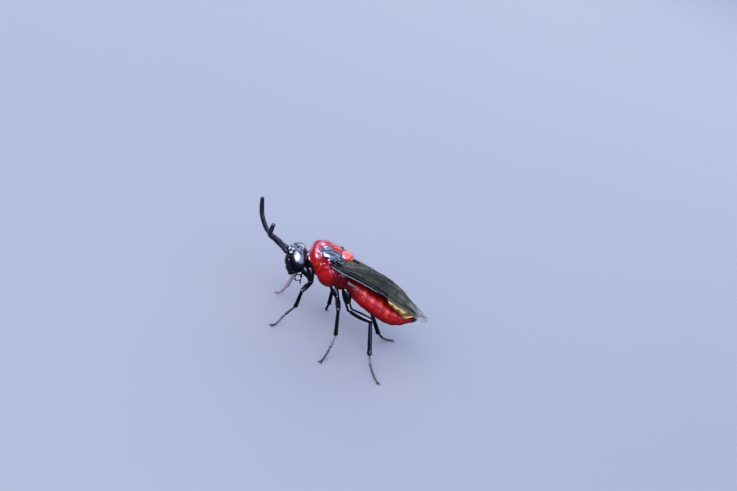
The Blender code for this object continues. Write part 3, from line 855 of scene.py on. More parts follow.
    def seam_relief(self, p: Array) -> Array:
        """Gives the depth of the thorax's seams and the height of its welts and bulb.

        Args:
            p: Points of the skin.

        Returns:
            The height at each, in millimetres.
        """
        near = (p[:, 0] > -2.0) & (p[:, 0] < 1.8)
        folded = p[near] * (1.0, -1.0, 1.0)
        folded[:, 1] = -np.abs(folded[:, 1])
        x, y, z = folded.T
        found = np.zeros(len(folded))
        cuts = ((self.side_seams, (0, 2), ease(-y, 0.35, 0.6)),
                (self.back_seams, (0, 1), ease(z, 5.7, 5.85)))
        for seams, plane, share in cuts:
            for width, depth, line in seams:
                away = line_distance(folded[:, plane], smooth_line(line, SEAM_SPANS))
                lip = 0.12 * bell(away - 2.2 * width, width)
                found -= share * depth * (bell(away, width) - lip)
        for width, rise, line in self.welts:
            found += rise * bell(line_distance(folded, smooth_line(line, SEAM_SPANS)), width)
        bumps = np.sin(x * 15.0 + 2.0 * y) * np.sin(y * 17.0 - 3.0 * x) - 0.8 * bell(y + 0.02, 0.05)
        found += ease(x, 0.3, 0.45) * ease(z, 5.95, 6.1) * 0.02 * bumps
        height = np.zeros(len(p))
        height[near] = found
        return height

    def head_relief(self, p: Array) -> Array:
        """Gives the relief of the face, the rims round the eyes and the crown.

        Args:
            p: Points of the skin.

        Returns:
            The height at each, in millimetres.
        """
        near = p[:, 0] < -1.75
        x, y, z = (roll_head(p[near], back=True) - HEAD_CENTRE).T
        side = np.abs(y)
        found = np.zeros(len(x))
        for eye in (Eye(each) for each in Side):
            reach = eye.reach(p[near])
            low = 0.06 + 0.94 * ease(z, 0.55, 0.15)
            found += low * (0.05 * bell(reach - 1.13, 0.05) - 0.055 * bell(reach - 1.03, 0.035))
        front = ease(x, -0.15, -0.35)
        found -= front * 0.07 * bell(z + 0.8 - 0.25 * side, 0.045)
        found -= front * 0.06 * bell(z + 1.1 + 0.1 * side, 0.035)
        socket = np.hypot(side - 0.32, z - 0.25)
        found += front * (0.045 * bell(socket - 0.235, 0.05) - 0.1 * bell(socket, 0.15))
        crown = ease(z, 0.5, 0.75) * 0.014 * bell(side - 0.42 - 0.25 * (x + 0.2), 0.04)
        found -= crown * ease(x, -0.38, -0.2)
        for place in Ocelli().places:
            ring = np.linalg.norm(p[near] - np.array(place[:3]), axis=1)
            found -= 0.035 * bell(ring - 0.14, 0.035)
        found += front * 0.012 * np.sin(z * 24.0) * bell(side - 0.55, 0.18)
        height = np.zeros(len(p))
        height[near] = found * ease(x, 0.62, 0.4)
        return height

    def black(self, p: Array) -> Array:
        """Finds the black head, breast, shields, hollows under the wings and tail tip.

        Args:
            p: Points of the skin.

        Returns:
            1 where the skin is black.
        """
        x, y, z = p.T
        side = np.abs(y)
        around_head = (p - HEAD_CENTRE - (0.0, 0.0, 0.05)) / (0.82, 1.3, 1.3)
        return np.max([
            ease(x, -1.84, -1.92),
            ease(np.linalg.norm(around_head, axis=1), 1.02, 0.98),
            region(np.stack([x, side], 1), self.shield, 0.03) * ease(z, 5.7, 5.78),
            region(np.stack([x, z], 1), self.axilla, 0.04) * ease(side, 0.5, 0.6),
            ease(x - along_table(self.black_front, z), 0.03, -0.03) * ease(z, 5.5, 5.3),
            ease(x, 6.6, 6.8) * ease(z, 3.72, 3.6),
        ], axis=0)

    def mark(self, surface: Surface, p: Array) -> None:
        """Marks the black, orange and soft places, the painted shade and the pale painted
        highlights for the material.

        Args:
            surface: The skin.
            p: Its points before the relief.
        """
        x, y, z = p.T
        side = np.abs(y)
        place, height = self.ring_place(p)
        abdomen = ease(x, 1.75, 2.3)
        drift = 0.1 * np.sin(x * 4.3)
        surface.mark("black", self.black(p))
        surface.mark("soft", ease(x, 1.6, 2.2))
        spots = bell(place - 0.6, 0.22) * (
            1.2 * bell(height - 0.5 + drift, 0.16) + 0.25 * bell(height - 0.1, 0.1))
        back = 0.45 * ease(z, 5.95, 6.2) * ease(side, 0.5, 0.3) * ease(x, -1.0, -0.4)
        collar = 0.6 * (bell(x + 1.02, 0.22) * bell(z - 5.15, 0.34) * ease(side, 0.7, 1.0))
        bulb = 0.9 * (ease(x, 0.3, 0.45) * ease(z, 5.85, 6.05))
        spots = np.clip(spots, 0, 1) * abdomen * ease(x, 6.2, 4.8)
        surface.mark("orange", np.maximum(np.max([back, bulb, collar], axis=0) * (x < 1.5), spots))
        # Painted shade: darkens the abdomen's base and top under the wings, the rear and lower side
        # of the thorax, the belly, the underside of the abdomen and the creases between its rings
        # and along its flank fold.
        waist = 0.92 * ease(x, 0.6, 1.3) * ease(x, 2.9, 1.8) * ease(z, 5.2, 4.6)
        rear_side = 0.9 * ease(x, -0.1, 0.8) * ease(z, 5.5, 4.8) * ease(x, 1.9, 1.5)
        belly = 0.95 * ease(z, 4.45, 3.7) * ease(x, 1.8, 1.5)
        seams = bell(place - 0.98, 0.06) + bell(place, 0.06) + bell(height + 0.4, 0.08)
        seams = 0.2 * abdomen * seams + 0.5 * abdomen * ease(height, 0.45, 0.85)
        under = 0.65 * abdomen * ease(height, -0.05, -0.6)
        surface.mark("painted_shade", np.max([waist, rear_side, belly, seams, under], axis=0))
        # Painted highlights: a pale strip along the front edge of the collar and at the neck, a row
        # of pale glints near the rear edge of each abdominal ring and a faint pale sheen along the
        # middle of the flank.
        folded = np.stack([x, -side, z], 1)
        rim = 0.75 * bell(line_distance(folded, np.array(self.collar)), 0.085)
        glint = (0.45 * ease(x, 2.2, 2.8) * bell(place - 0.88, 0.08)
                 * bell(height - 0.12 + drift, 0.05))
        neck = bell(x + 1.9, 0.1) * ease(z, 4.9, 5.1)
        painted_sheen = 0.02 * abdomen * ease(height, -0.55, 0.0) * ease(height, 0.75, 0.45)
        surface.mark("pale", np.max([neck, rim, glint, painted_sheen], axis=0))

    def build(self) -> Piece:
        """Builds and dresses the skin.

        Returns:
            The piece.
        """
        piece = fuse("body_skin", self.shells(), self.voxel, 3)
        surface = Surface(piece)
        p = surface.points.copy()
        relief = self.abdomen_relief(p) + self.seam_relief(p) + self.head_relief(p)
        surface.points += surface.normals() * relief[:, None]
        self.mark(surface, p)
        surface.store()
        return dress(piece, Cuticle(), Slot.RED, "head", "thorax", "abdomen")


@dataclass
class Eye:
    """Compound eye of one side."""

    side: Side
    centre: Row = (0.02, -0.83, 0.06)
    half: Row = (0.58, 0.43, 0.81)
    lean: Row = (15.0, -20.0, -10.0)
    steps: tuple[int, int] = (150, 110)
    blunt: float = 0.94

    def frame(self) -> tuple[Array, Array]:
        """Gives the eye's centre and axes before the head is rolled."""
        (x, y, z), (a, b, c), side = self.centre, self.lean, -self.side
        return HEAD_CENTRE + (x, side * y, z), turn((-side * a, b, side * c))

    def reach(self, points: Array) -> Array:
        """Gives how far out points lie, where 1 is the eye's surface."""
        centre, spin = self.frame()
        return np.linalg.norm(((roll_head(points, back=True) - centre) @ spin) / self.half, axis=1)

    def build(self) -> None:
        """Builds and dresses the eye."""
        centre, spin = self.frame()
        name = f"eye_{self.side.name.lower()}"
        made = ball(*self.steps, self.blunt).placed(
            lambda p: roll_head((p * self.half) @ spin.T + centre))
        dress(join(f"{name}_facets", [made]), EyeGlaze(), Slot.EYE, name)


@dataclass
class Ocelli:
    """Three small simple eyes on top of the head."""

    places: Rows = ((-2.93, 0, 5.08, 0.095), (-2.72, -0.25, 5.36, 0.1), (-2.72, 0.25, 5.32, 0.1))

    def build(self) -> None:
        """Builds and dresses the three lenses."""
        lenses = join("ocelli", [lobe(place[:3], place[3:] * 3) for place in self.places])
        dress(lenses, EyeGlaze((0.02, 0.018, 0.02)), Slot.EYE)


@dataclass
class Hinges:
    """Small black plates between the back and the roots of the wings."""

    voxel: float = 0.018
    plates: Rows = (
        (-0.66, -1.1, 5.84, 0.22, 0.07, 0.07, 20, 8, 24),
        (-0.3, -1.12, 5.88, 0.2, 0.1, 0.07, 34, 0, -6),
        (-0.06, -1.02, 5.93, 0.17, 0.14, 0.07, 26, 6, -30),
        (0.16, -0.9, 5.99, 0.22, 0.09, 0.08, 20, 4, -34),
        (0.44, -0.68, 6.02, 0.24, 0.12, 0.06, 10, 8, -24),
        (-0.04, -1.14, 5.74, 0.26, 0.08, 0.09, 30, 22, 4),
        (0.26, -1.02, 5.8, 0.3, 0.1, 0.1, 30, 16, -6),
    )

    def build(self) -> None:
        """Builds and dresses the plates."""
        dress(fuse("wing_hinges", lobes(self.plates), self.voxel), Jet(rough=0.2), Slot.BLACK)


@dataclass
class Palps:
    """Thin jointed feelers of the mouth."""

    voxel: float = 0.013
    radius: float = 0.046
    swell: Row = (0.45, 0.75, 0.95, 1.15, 1.3, 1.2, 0.7)
    routes: Sequence[Rows] = (
        ((-2.01, -0.32, 3.38), (-1.97, -0.4, 3.14), (-1.9, -0.43, 2.91), (-1.71, -0.43, 2.99),
            (-1.52, -0.4, 3.07)),
        ((-1.76, -0.26, 3.42), (-1.6, -0.38, 3.27), (-1.55, -0.45, 3.06), (-1.46, -0.42, 2.84)),
    )

    def build(self) -> None:
        """Builds and dresses the palps."""
        shells = []
        for route in self.routes:
            for side in Side:
                for a, b in zip(np.array(route), np.array(route)[1:]):
                    line = np.linspace(a, b, len(self.swell)) * (1, -side, 1)
                    shells.append(rod(line, self.radius * np.array(self.swell), 10))
        dress(fuse("palps", shells, self.voxel), Jet(), Slot.BLACK)


@dataclass
class Feeler:
    """Feeler of one side: scape, pedicel and one long club."""

    side: Side
    base: Row
    bends: Rows
    voxel: float = 0.02
    scape: Row = (0.075, 0.1125, 0.135, 0.15, 0.1575, 0.1575, 0.15, 0.12)
    pedicel: Row = (0.10125, 0.12825, 0.135, 0.1377, 0.135, 0.1242, 0.10125)
    velvet: Jet = Jet((0.007, 0.006, 0.008), (0.035, 0.033, 0.04), 0.42, 0.4, 0.03, 0.012)

    def build(self) -> Piece:
        """Builds and dresses the feeler.

        Returns:
            The piece.
        """
        base = np.array(self.base)
        run = unit(np.array(self.bends[0]) - base)
        club = smooth_line([base + run * 0.4, *self.bends], 16)
        share = np.linspace(0.0, 1.0, len(club))
        radii = 0.105 + 0.055 * ease(share, 0.0, 0.55) - 0.03 * ease(share, 0.85, 1.0)
        shells = [rod(club, radii, 24)]
        for start, end, sizes in ((-0.22, 0.17, self.scape), (0.2, 0.36, self.pedicel)):
            shells.append(rod(base + np.outer(np.linspace(start, end, len(sizes)), run), sizes))
        name = self.side.name.lower()
        piece = fuse(f"feeler_{name}", shells, self.voxel)
        return dress(piece, self.velvet, Slot.BLACK, f"antenna_{name}")


FEELERS = (
    Feeler(Side.LEFT, (-3.36, -0.37, 4.68), ((-4.0, -0.48, 5.03), (-4.48, -0.66, 5.36),
        (-4.86, -1.05, 5.68), (-5.0, -1.62, 6.22), (-5.08, -2.36, 7.16))),
    Feeler(Side.RIGHT, (-3.36, 0.26, 4.66), ((-4.0, 0.38, 4.86), (-4.97, 0.56, 5.08),
        (-5.63, 0.76, 5.7), (-5.95, 0.92, 6.2), (-6.27, 1.1, 7.01))),
)
RIDGE = (
    (-0.5, 6.04), (1.2, 6.0), (2.4, 5.88), (3.2, 5.75), (4.1, 5.57), (4.8, 5.36), (5.5, 5.06),
    (6.2, 4.73), (6.9, 4.4), (7.7, 4.02),
)
ROOF_DROP = 0.9
ROOF_ROUND = 0.7


def roof(x: Array, y: Array) -> Array:
    """Gives the height of the folded wings above the floor."""
    return along_table(RIDGE, x) - ROOF_DROP * (np.hypot(y, ROOF_ROUND) - ROOF_ROUND)


def sheet(name: str, faces: tuple[Array, Array], steps: tuple[int, int], flipped: bool) -> Piece:
    """Closes two grids of points into a thin sheet.

    Args:
        name: The piece's name.
        faces: The points of its upper and lower face, row by row.
        steps: Rows and columns of the grids.
        flipped: Whether the faces are wound the other way.

    Returns:
        The piece, in design millimetres.
    """
    index = np.arange(len(faces[0])).reshape(steps)
    shift = index.size
    corners = index[:-1, :-1], index[1:, :-1], index[1:, 1:], index[:-1, 1:]
    quads = np.stack(corners, -1).reshape(-1, 4)
    rim = np.concatenate([index[:, 0], index[-1, 1:], index[-2::-1, -1], index[0, -2:0:-1]])
    after = np.roll(rim, -1)
    walls = np.stack([rim, rim + shift, after + shift, after], 1)
    made = np.vstack([quads, quads[:, ::-1] + shift, walls])
    return join(name, [Shell(np.vstack(faces), (made[:, ::-1] if flipped else made).tolist())])


@dataclass
class Forewing:
    """Long forewing of one side, folded over the back."""

    side: Side
    lift: float = 0.0
    steps: tuple[int, int] = (210, 60)
    thick: float = 0.022
    front: Rows = (
        (-0.22, -1.2), (0.0, -1.29), (0.85, -1.33), (2.5, -1.31), (3.3, -1.3), (4.2, -1.25),
        (4.65, -1.2), (5.13, -1.13), (5.56, -0.99), (6.36, -0.8), (6.8, -0.62), (7.35, -0.3),
        (7.68, 0.02), (7.74, 0.22),
    )
    rear: Rows = (
        (-0.22, -1.0), (0.1, -0.78), (0.5, -0.52), (1.0, -0.32), (1.7, -0.12), (2.6, 0.12),
        (3.7, 0.4), (4.7, 0.68), (5.7, 0.82), (6.6, 0.82), (7.2, 0.7), (7.56, 0.5), (7.74, 0.22),
    )
    # Veins coloured pale to paint their highlights and reflections: the costa, the front edge near
    # the tip and veins near the base.
    painted_highlight_veins: Sequence[tuple[float, Rows]] = (
        (0.05, ((-0.2, -1.2), (0.85, -1.325), (2.5, -1.305), (3.5, -1.28))),
        (0.03, ((4.3, -1.22), (4.7, -1.18), (5.2, -1.1), (5.8, -0.93), (6.5, -0.75),
            (7.1, -0.47))),
        (0.032, ((0.1, -0.96), (0.9, -0.8), (1.5, -0.6), (2.4, -0.26))),
        (0.024, ((0.55, -0.7), (1.05, -0.5), (1.35, -0.58))),
        (0.024, ((2.75, -0.42), (2.6, -0.18))),
    )
    dark_veins: Sequence[tuple[float, Rows]] = (
        (0.062, ((-0.2, -1.06), (0.9, -1.16), (2.4, -1.16), (3.4, -1.16), (3.9, -1.14))),
        (0.03, ((3.05, -1.13), (3.35, -0.92), (4.2, -0.76), (5.4, -0.68), (6.3, -0.6),
            (6.75, -0.6))),
        (0.034, ((0.0, -1.02), (1.2, -0.9), (2.1, -0.7), (3.1, -0.5), (4.6, -0.32), (6.4, -0.1))),
        (0.03, ((2.1, -0.7), (3.0, -0.3), (4.2, 0.08), (5.6, 0.34))),
        (0.026, ((2.4, -0.26), (3.6, 0.22), (4.6, 0.55))),
        (0.026, ((3.95, -1.12), (4.12, -0.76))),
        (0.024, ((3.55, -0.88), (3.62, -0.44))),
        (0.024, ((4.75, -0.72), (4.8, -0.3))),
        (0.024, ((5.8, -0.65), (5.78, -0.18))),
        (0.024, ((3.75, -0.42), (3.85, -0.04))),
        (0.024, ((5.15, -0.26), (5.05, 0.26))),
    )
    spot: Rows = ((3.3, -1.225), (3.7, -1.2), (4.05, -1.18), (4.35, -1.19))
    waves: Rows = (
        (0.02, 4.1, 6.3, 0.4), (0.014, 9.7, -5.2, 2.0), (0.012, 17.0, 13.0, 1.1),
        (0.009, -23.0, 31.0, 0.2),
    )
    dark: Jet = Jet((0.006, 0.005, 0.004), (0.025, 0.02, 0.013), 0.3, 0.5, 0.05, 0.004)
    # Pale finish of the veins that carry painted highlights.
    pale: Jet = Jet((0.075, 0.07, 0.062), (0.16, 0.145, 0.12), 0.3, 0.9, 0.05, 0.004)

    def lay(self, plan: Array, height: Array) -> Array:
        """Lays plan points on the roof of wings.

        Args:
            plan: Rows of x and y, as on the left side.
            height: How far above the roof each lies.

        Returns:
            Points in design millimetres.
        """
        x, y = plan.T
        step = 0.01
        z = roof(x, y)
        lean = (roof(x + step, y) - z) / step, (roof(x, y + step) - z) / step
        normal = units(np.stack([-lean[0], -lean[1], np.ones(len(x))], 1))
        made = np.stack([x, y, z], 1) + normal * (height + self.lift)[:, None]
        return made * (1.0, -self.side, 1.0)

    def plan(self) -> Array:
        """Gives the plan's grid of points, row by row.

        Returns:
            Rows of x and y.
        """
        long, wide = self.steps
        edges = []
        for line in (smooth_line(self.front, TABLE_SPANS), smooth_line(self.rear, TABLE_SPANS)):
            reach = travel(line)
            along = np.linspace(0.0, 1.0, long) * reach[-1]
            edges.append(np.stack([np.interp(along, reach, v) for v in line.T], 1)[:, None])
        t = np.linspace(0.0, 1.0, wide)[None, :, None]
        return (edges[0] * (1 - t) + edges[1] * t).reshape(-1, 2)

    def vein_distance(self, plan: Array) -> Array:
        """Gives the distance of plan points to the nearest vein."""
        lines = [smooth_line(line, 4) for _, line in (*self.painted_highlight_veins, *self.dark_veins)]
        return np.min([line_distance(plan, line) for line in lines], axis=0)

    def relief(self, plan: Array) -> Array:
        """Gives the height of the membrane, which sags between its veins.

        Args:
            plan: Rows of x and y.

        Returns:
            The height at each, in millimetres.
        """
        near = self.vein_distance(plan)
        x, y = plan.T
        waves = np.zeros(len(plan))
        for size, turns_x, turns_y, start in self.waves:
            waves += size * np.sin(x * turns_x + y * turns_y + start)
        return 0.7 * waves * ease(near, 0.0, 0.22) - 0.06 * ease(near, 0.0, 0.3)

    def mark(self, surface: Surface, plan: Array) -> None:
        """Marks the dark band, the pale streaks, which near the base are painted glints, and the
        clear tip.

        Args:
            surface: The membrane.
            plan: The plan of its points.
        """
        x, y = plan.T
        edge = line_distance(plan, smooth_line(self.front, TABLE_SPANS))
        band = ease(edge, 0.34, 0.27) * ease(x, 4.42, 4.25) * ease(x, 0.1, 1.2)
        stigma = ease(edge, 0.3, 0.22) * bell(x - 3.75, 0.55)
        cloud = (0.6 * bell(x - 3.5, 0.7) * bell(y + 0.55, 0.35)
                 + 0.45 * bell(x - 1.8, 0.5) * bell(y + 0.75, 0.2))
        surface.mark("dark", np.max([band, stigma, cloud, ease(x, 0.5, 0.1)], axis=0))
        # Near the base the pale streaks are painted glints; towards the tip the membrane is paler
        # in streaks.
        streaks = 0.5 + 0.5 * np.sin(x * 6.0 + y * 9.0 + 2.0 * np.sin(y * 7.0))
        pale = 0.75 * ease(x, 4.3, 6.4) * (0.45 + 0.55 * streaks)
        pale = pale + 0.22 * streaks * ease(x, 2.2, 0.9)
        pale = pale * (1.0 - 0.7 * bell(self.vein_distance(plan), 0.06)) * ease(edge, 0.16, 0.3)
        surface.mark("pale", pale + 0.3 * ease(x, 6.4, 7.4))
        surface.mark("thin", ease(x, 4.2, 7.2))

    def membrane(self, name: str) -> Piece:
        """Builds the membrane.

        Args:
            name: The piece's name.

        Returns:
            The piece, in design millimetres.
        """
        long, wide = self.steps
        plan = self.plan()
        relief = self.relief(plan)
        rim = np.minimum(np.arange(wide), np.arange(wide)[::-1])
        half = self.thick / 2 * np.tile(ease(rim, -1.0, 3.0), long)
        faces = self.lay(plan, relief + half), self.lay(plan, relief - half)
        piece = sheet(name, faces, self.steps, self.side is Side.RIGHT)
        self.mark(Surface(piece), np.vstack([plan, plan]))
        return piece

    def vein_rods(self, veins: Sequence[tuple[float, Rows]]) -> list[Shell]:
        """Makes veins as rods sunk in the membrane.

        Args:
            veins: Their radii and corners.

        Returns:
            Shells in design millimetres.
        """
        shells = []
        for radius, corners in veins:
            line = smooth_line(corners, 10)
            place = np.arange(len(line))
            beads = 1.0 + 0.1 * np.sin(place * 1.9)
            taper = 0.45 + 0.55 * ease(np.minimum(place, place[::-1]), -1, 5)
            middle = self.lay(line, self.relief(line) + 0.2 * radius)
            shells.append(rod(middle, radius * beads * taper, 10))
        return shells

    def stigma(self) -> Shell:
        """Makes the thick dark spot on the front edge.

        Returns:
            A shell in design millimetres.
        """
        line = smooth_line(self.spot, 8)
        swell = np.sin(np.linspace(0.25, math.pi - 0.15, len(line)))
        return rod(self.lay(line, self.relief(line)), 0.105 * swell, 14, 0.5)

    def build(self) -> None:
        """Builds and dresses the membrane, the dark veins and the veins coloured pale as painted
        highlights.
        """
        name = f"forewing_{self.side.name.lower()}"
        dress(self.membrane(f"{name}_film"), Film(), Slot.SMOKY, name)
        dark = [*self.vein_rods(self.dark_veins), self.stigma()]
        dress(join(f"{name}_dark_veins", dark), self.dark, Slot.SMOKY)
        dress(join(f"{name}_pale_veins", self.vein_rods(self.painted_highlight_veins)), self.pale, Slot.SMOKY)


@dataclass
class Hindwing:
    """Hindwing of one side, whose edge hangs below the forewing near its tip."""

    side: Side
    steps: tuple[int, int] = (120, 40)
    thick: float = 0.018
    edge: Rows = ((1.1, 4.6, 5.13, 5.56, 6.36, 6.95), (-1.16, -1.1, -1.04, -0.92, -0.74, -0.5))
    inner: Rows = ((1.1, 3.0, 5.0, 6.6, 6.95), (-0.85, -0.45, -0.2, -0.3, -0.42))
    fold: float = 0.6
    gap: float = 0.2
    gap_right: float = 0.26
    hem: Rows = (
        (1.1, 5.4), (2.6, 5.22), (3.6, 5.06), (4.2, 4.86), (4.55, 4.56), (4.9, 4.36), (5.3, 4.15),
        (5.75, 3.92), (6.1, 3.84), (6.4, 3.92), (6.7, 4.12), (6.95, 4.28),
    )
    amber: Film = Film((0.15, 0.075, 0.022), (0.04, 0.012, 0.006), (0.46, 0.34, 0.13), 0.92, 0.22)

    def middle(self, x: Array, t: Array) -> Array:
        """Gives the middle face of the folded wing.

        Args:
            x: The place along the body of each point of the grid.
            t: Its place across the wing, 0 at the inner edge and 1 at the hem.

        Returns:
            Points in design millimetres, as on the left side.
        """
        edge, inner = np.interp(x, *self.edge), np.interp(x, *self.inner)
        y = inner + (edge - inner) * np.clip(t / self.fold, 0, 1)
        under = roof(x, y) - (self.gap if self.side is Side.LEFT else self.gap_right)
        fold = np.clip((t - self.fold) / (1.0 - self.fold), 0, 1)
        z = under + (np.minimum(along_table(self.hem, x), under) - under) * fold
        y = y - 0.1 * np.sin(fold * math.pi / 2) * ease(x, 4.2, 4.9)
        z = z + (0.02 * np.sin(x * 13.0 - t * 6.0) + 0.025 * np.sin(x * 5.0)) * fold
        y = y + 0.025 * np.sin(x * 3.4 + t * 13.0 + 1.5 * np.sin(x * 2.9 + 0.6)) * fold
        return np.stack([x, y, z], -1)

    def mark(self, surface: Surface, x: Array, t: Array) -> None:
        """Marks the amber streaks and the clear gaps between them.

        Args:
            surface: The wing.
            x: The place along the body of each point.
            t: Its place across the wing.
        """
        wander = 1.5 * np.sin(x * 2.9 + 0.6) + 0.6 * np.sin(x * 11.0 + t * 5.0)
        streak = 0.5 + 0.5 * np.sin(t * 13.0 + x * 3.4 + wander)
        surface.mark("dark", 0.5 * ease(t, 0.75, 0.6) + 0.35 * bell(streak - 0.45, 0.08))
        surface.mark("pale", 0.15 + 0.85 * ease(streak, 0.35, 0.9))
        surface.mark("thin", ease(streak, 0.4, 0.1) * ease(t, 0.55, 0.75))

    def build(self) -> None:
        """Builds and dresses the wing."""
        long, wide = self.steps
        x = np.linspace(1.1, 6.95, long)[:, None] * np.ones((1, wide))
        t = np.linspace(0.0, 1.0, wide)[None, :] * np.ones((long, 1))
        middle = self.middle(x, t)
        normal = np.cross(np.gradient(middle, axis=1), np.gradient(middle, axis=0)).reshape(-1, 3)
        half = units(normal, 1e-12) * (self.thick / 2)
        middle = middle.reshape(-1, 3)
        mirror = (1.0, -self.side, 1.0)
        faces = (middle + half) * mirror, (middle - half) * mirror
        name = f"hindwing_{self.side.name.lower()}"
        piece = sheet(f"{name}_film", faces, self.steps, self.side is Side.LEFT)
        self.mark(Surface(piece), np.tile(x.ravel(), 2), np.tile(t.ravel(), 2))
        dress(piece, self.amber, Slot.AMBER, name)


@dataclass
class Leg:
    """One leg, from its root in the thorax to its claws."""

    name: str
    root: Row
    hip: Row
    knee: Row
    ankle: Row
    foot: Rows
    coxa: float
    femur: float
    tibia: float
    elbow: Row | None = None
    skin: Jet = Jet()
    voxel: float = 0.022
    claw_voxel: float = 0.012
    coxa_swell: Row = (0.7, 0.9, 1.0, 1.05, 1.07, 1.06, 1.03, 0.98, 0.92, 0.84, 0.74, 0.6)
    ring_swell: Row = (0.8, 0.92, 0.9, 0.84, 0.82, 0.92, 0.96)
    tarsus_joints: Row = (0.0, 0.38, 0.56, 0.7, 0.8, 1.0)

    def __post_init__(self) -> None:
        """Turns the joints into arrays."""
        self.root, self.hip, self.knee, self.ankle = map(
            np.array, (self.root, self.hip, self.knee, self.ankle))

    def tarsus(self) -> Array:
        """Gives the line of the foot, down to the floor."""
        drop = np.linspace(0.0, 0.1, len(self.foot))
        return smooth_line([self.ankle, *(np.array(self.foot) - np.outer(drop, UP))], 10)

    def shells(self) -> list[Shell]:
        """Makes the joints of the leg.

        Returns:
            Shells in design millimetres.
        """
        hip, knee, ankle = self.hip, self.knee, self.ankle
        line = self.root + np.outer(np.linspace(-0.1, 1.02, 12), hip - self.root)
        made = [rod(line, self.coxa * np.array(self.coxa_swell))]
        start = hip + (knee - hip) * 0.08 if self.elbow is None else np.array(self.elbow)
        ring = hip + np.outer(np.linspace(-0.1, 1.0, 7), start - hip)
        made.append(rod(ring, self.femur * np.array(self.ring_swell)))
        share = np.linspace(0.05, 1.0, 16)
        bow = np.sin(share * math.pi)
        thigh = start + np.outer(share, knee - start)
        thigh[:, 2] += bow * 0.035 * (1.0 if self.elbow is None else -0.6)
        made.append(rod(thigh, self.femur * (0.74 + 0.3 * bow ** 0.8 + 0.04 * share)))
        made.append(lobe(knee, (self.femur * 0.8,) * 3))
        share = np.linspace(0.0, 1.0, 18)
        shin = knee + np.outer(share, ankle - knee)
        made.append(rod(shin, self.tibia * (0.86 + 0.22 * share + 0.16 * ease(share, 0.88, 0.99))))
        route = self.tarsus()
        reach = travel(route)
        reach /= reach[-1]
        local = np.linspace(0.0, 1.0, 9)
        for near, far in zip(self.tarsus_joints, self.tarsus_joints[1:]):
            t = np.linspace(near, far + 0.015, 9)
            part = np.stack([np.interp(t, reach, v) for v in route.T], 1)
            made.append(rod(part, 0.078 * (0.62 + 0.5 * local**1.5) * (1.08 - 0.2 * near), 14))
        return made

    def spurs(self) -> list[Shell]:
        """Makes the spurs at the end of the shin.

        Returns:
            Two shells in design millimetres.
        """
        down = unit(self.ankle - self.knee)
        out = unit(np.cross(down, np.array(self.foot[-1]) - self.ankle))
        heel = np.cross(out, down)
        made = []
        for sign in Side:
            start = self.ankle - down * 0.04 + out * sign * self.tibia * 0.7
            tip = start + down * 0.26 + heel * 0.12 + out * sign * 0.05
            line = smooth_line([start, (start + tip) / 2 + out * sign * 0.02, tip], 5)
            made.append(rod(line, np.linspace(0.034, 0.008, len(line)), 8))
        return made

    def claws(self) -> None:
        """Builds and dresses the two claws and the pad between them."""
        route = self.tarsus()
        end = route[-1]
        along = unit(end - route[-4])
        out = unit(np.cross(along, UP))
        shells = []
        for sign in Side:
            line = smooth_line([
                end - along * 0.04, end + along * 0.06 + out * sign * 0.08 + UP * 0.03,
                end + along * 0.15 + out * sign * 0.15 + UP * 0.01,
                end + along * 0.19 + out * sign * 0.17 - UP * (end[2] - 0.012),
            ], 6)
            shells.append(rod(line, np.linspace(0.036, 0.01, len(line)), 10))
        shells.append(lobe(end + along * 0.05 - UP * 0.01, (0.07, 0.07, 0.045)))
        piece = fuse(f"{self.name}_claws", shells, self.claw_voxel)
        dress(piece, Jet(rough=0.2), Slot.BLACK)

    def build(self) -> Piece:
        """Builds and dresses the leg and its claws.

        Returns:
            The leg.
        """
        leg = fuse(f"{self.name}_shell", self.shells() + self.spurs(), self.voxel)
        # Marks the lower leg that gets the painted pale reflection.
        if self.skin.shin is not None:
            surface = Surface(leg)
            surface.mark("shin", ease(surface.points[:, 2], 2.72, 2.45))
        dress(leg, self.skin, Slot.BLACK, f"leg_{self.name}")
        self.claws()
        return leg


LEGS = (
    Leg("front_left", (-1.36, -0.5, 4.36), (-0.86, -0.78, 3.4), (-1.3, -1.92, 3.16),
        (-1.2, -1.74, 1.78), ((-1.66, -1.9, 0.8), (-1.92, -2.2, 0.24), (-2.18, -2.46, 0.16)),
        0.25, 0.175, 0.125),
    # This leg's lower part carries a painted pale reflection.
    Leg("front_right", (-1.36, 0.5, 4.36), (-0.8, 0.78, 2.84), (-1.86, 1.58, 2.96),
        (-2.0, 1.48, 1.24), ((-2.12, 1.86, 0.56), (-2.2, 2.1, 0.26), (-2.34, 2.24, 0.16)),
        0.25, 0.175, 0.12, skin=Jet(shin=(0.26, 0.19, 0.2))),
    Leg("middle_left", (0.56, -0.64, 3.86), (1.2, -0.96, 3.28), (1.46, -2.46, 3.2),
        (2.04, -2.76, 1.52), ((2.02, -3.3, 0.76), (1.9, -3.9, 0.28), (1.7, -4.52, 0.16)),
        0.25, 0.175, 0.13),
    Leg("middle_right", (0.5, 0.64, 3.86), (0.96, 0.98, 3.26), (1.0, 1.96, 2.42),
        (1.34, 2.26, 0.86), ((1.36, 2.46, 0.46), (1.38, 2.62, 0.26), (1.42, 2.78, 0.16)),
        0.25, 0.175, 0.125),
    Leg("hind_left", (1.5, -0.6, 3.98), (2.1, -0.88, 3.06), (3.88, -1.9, 3.11), (4.79, -2.6, 1.04),
        ((5.1, -2.96, 0.52), (5.6, -3.72, 0.24), (5.97, -4.12, 0.16)),
        0.3, 0.235, 0.15, (2.4, -1.12, 2.8)),
    Leg("hind_right", (1.5, 0.6, 3.98), (2.14, 0.86, 3.1), (3.89, 1.45, 2.32), (5.34, 1.55, 0.6),
        ((5.66, 1.75, 0.33), (6.04, 1.98, 0.2), (6.6, 2.38, 0.16)),
        0.3, 0.235, 0.14, (2.45, 0.97, 2.84)),
)


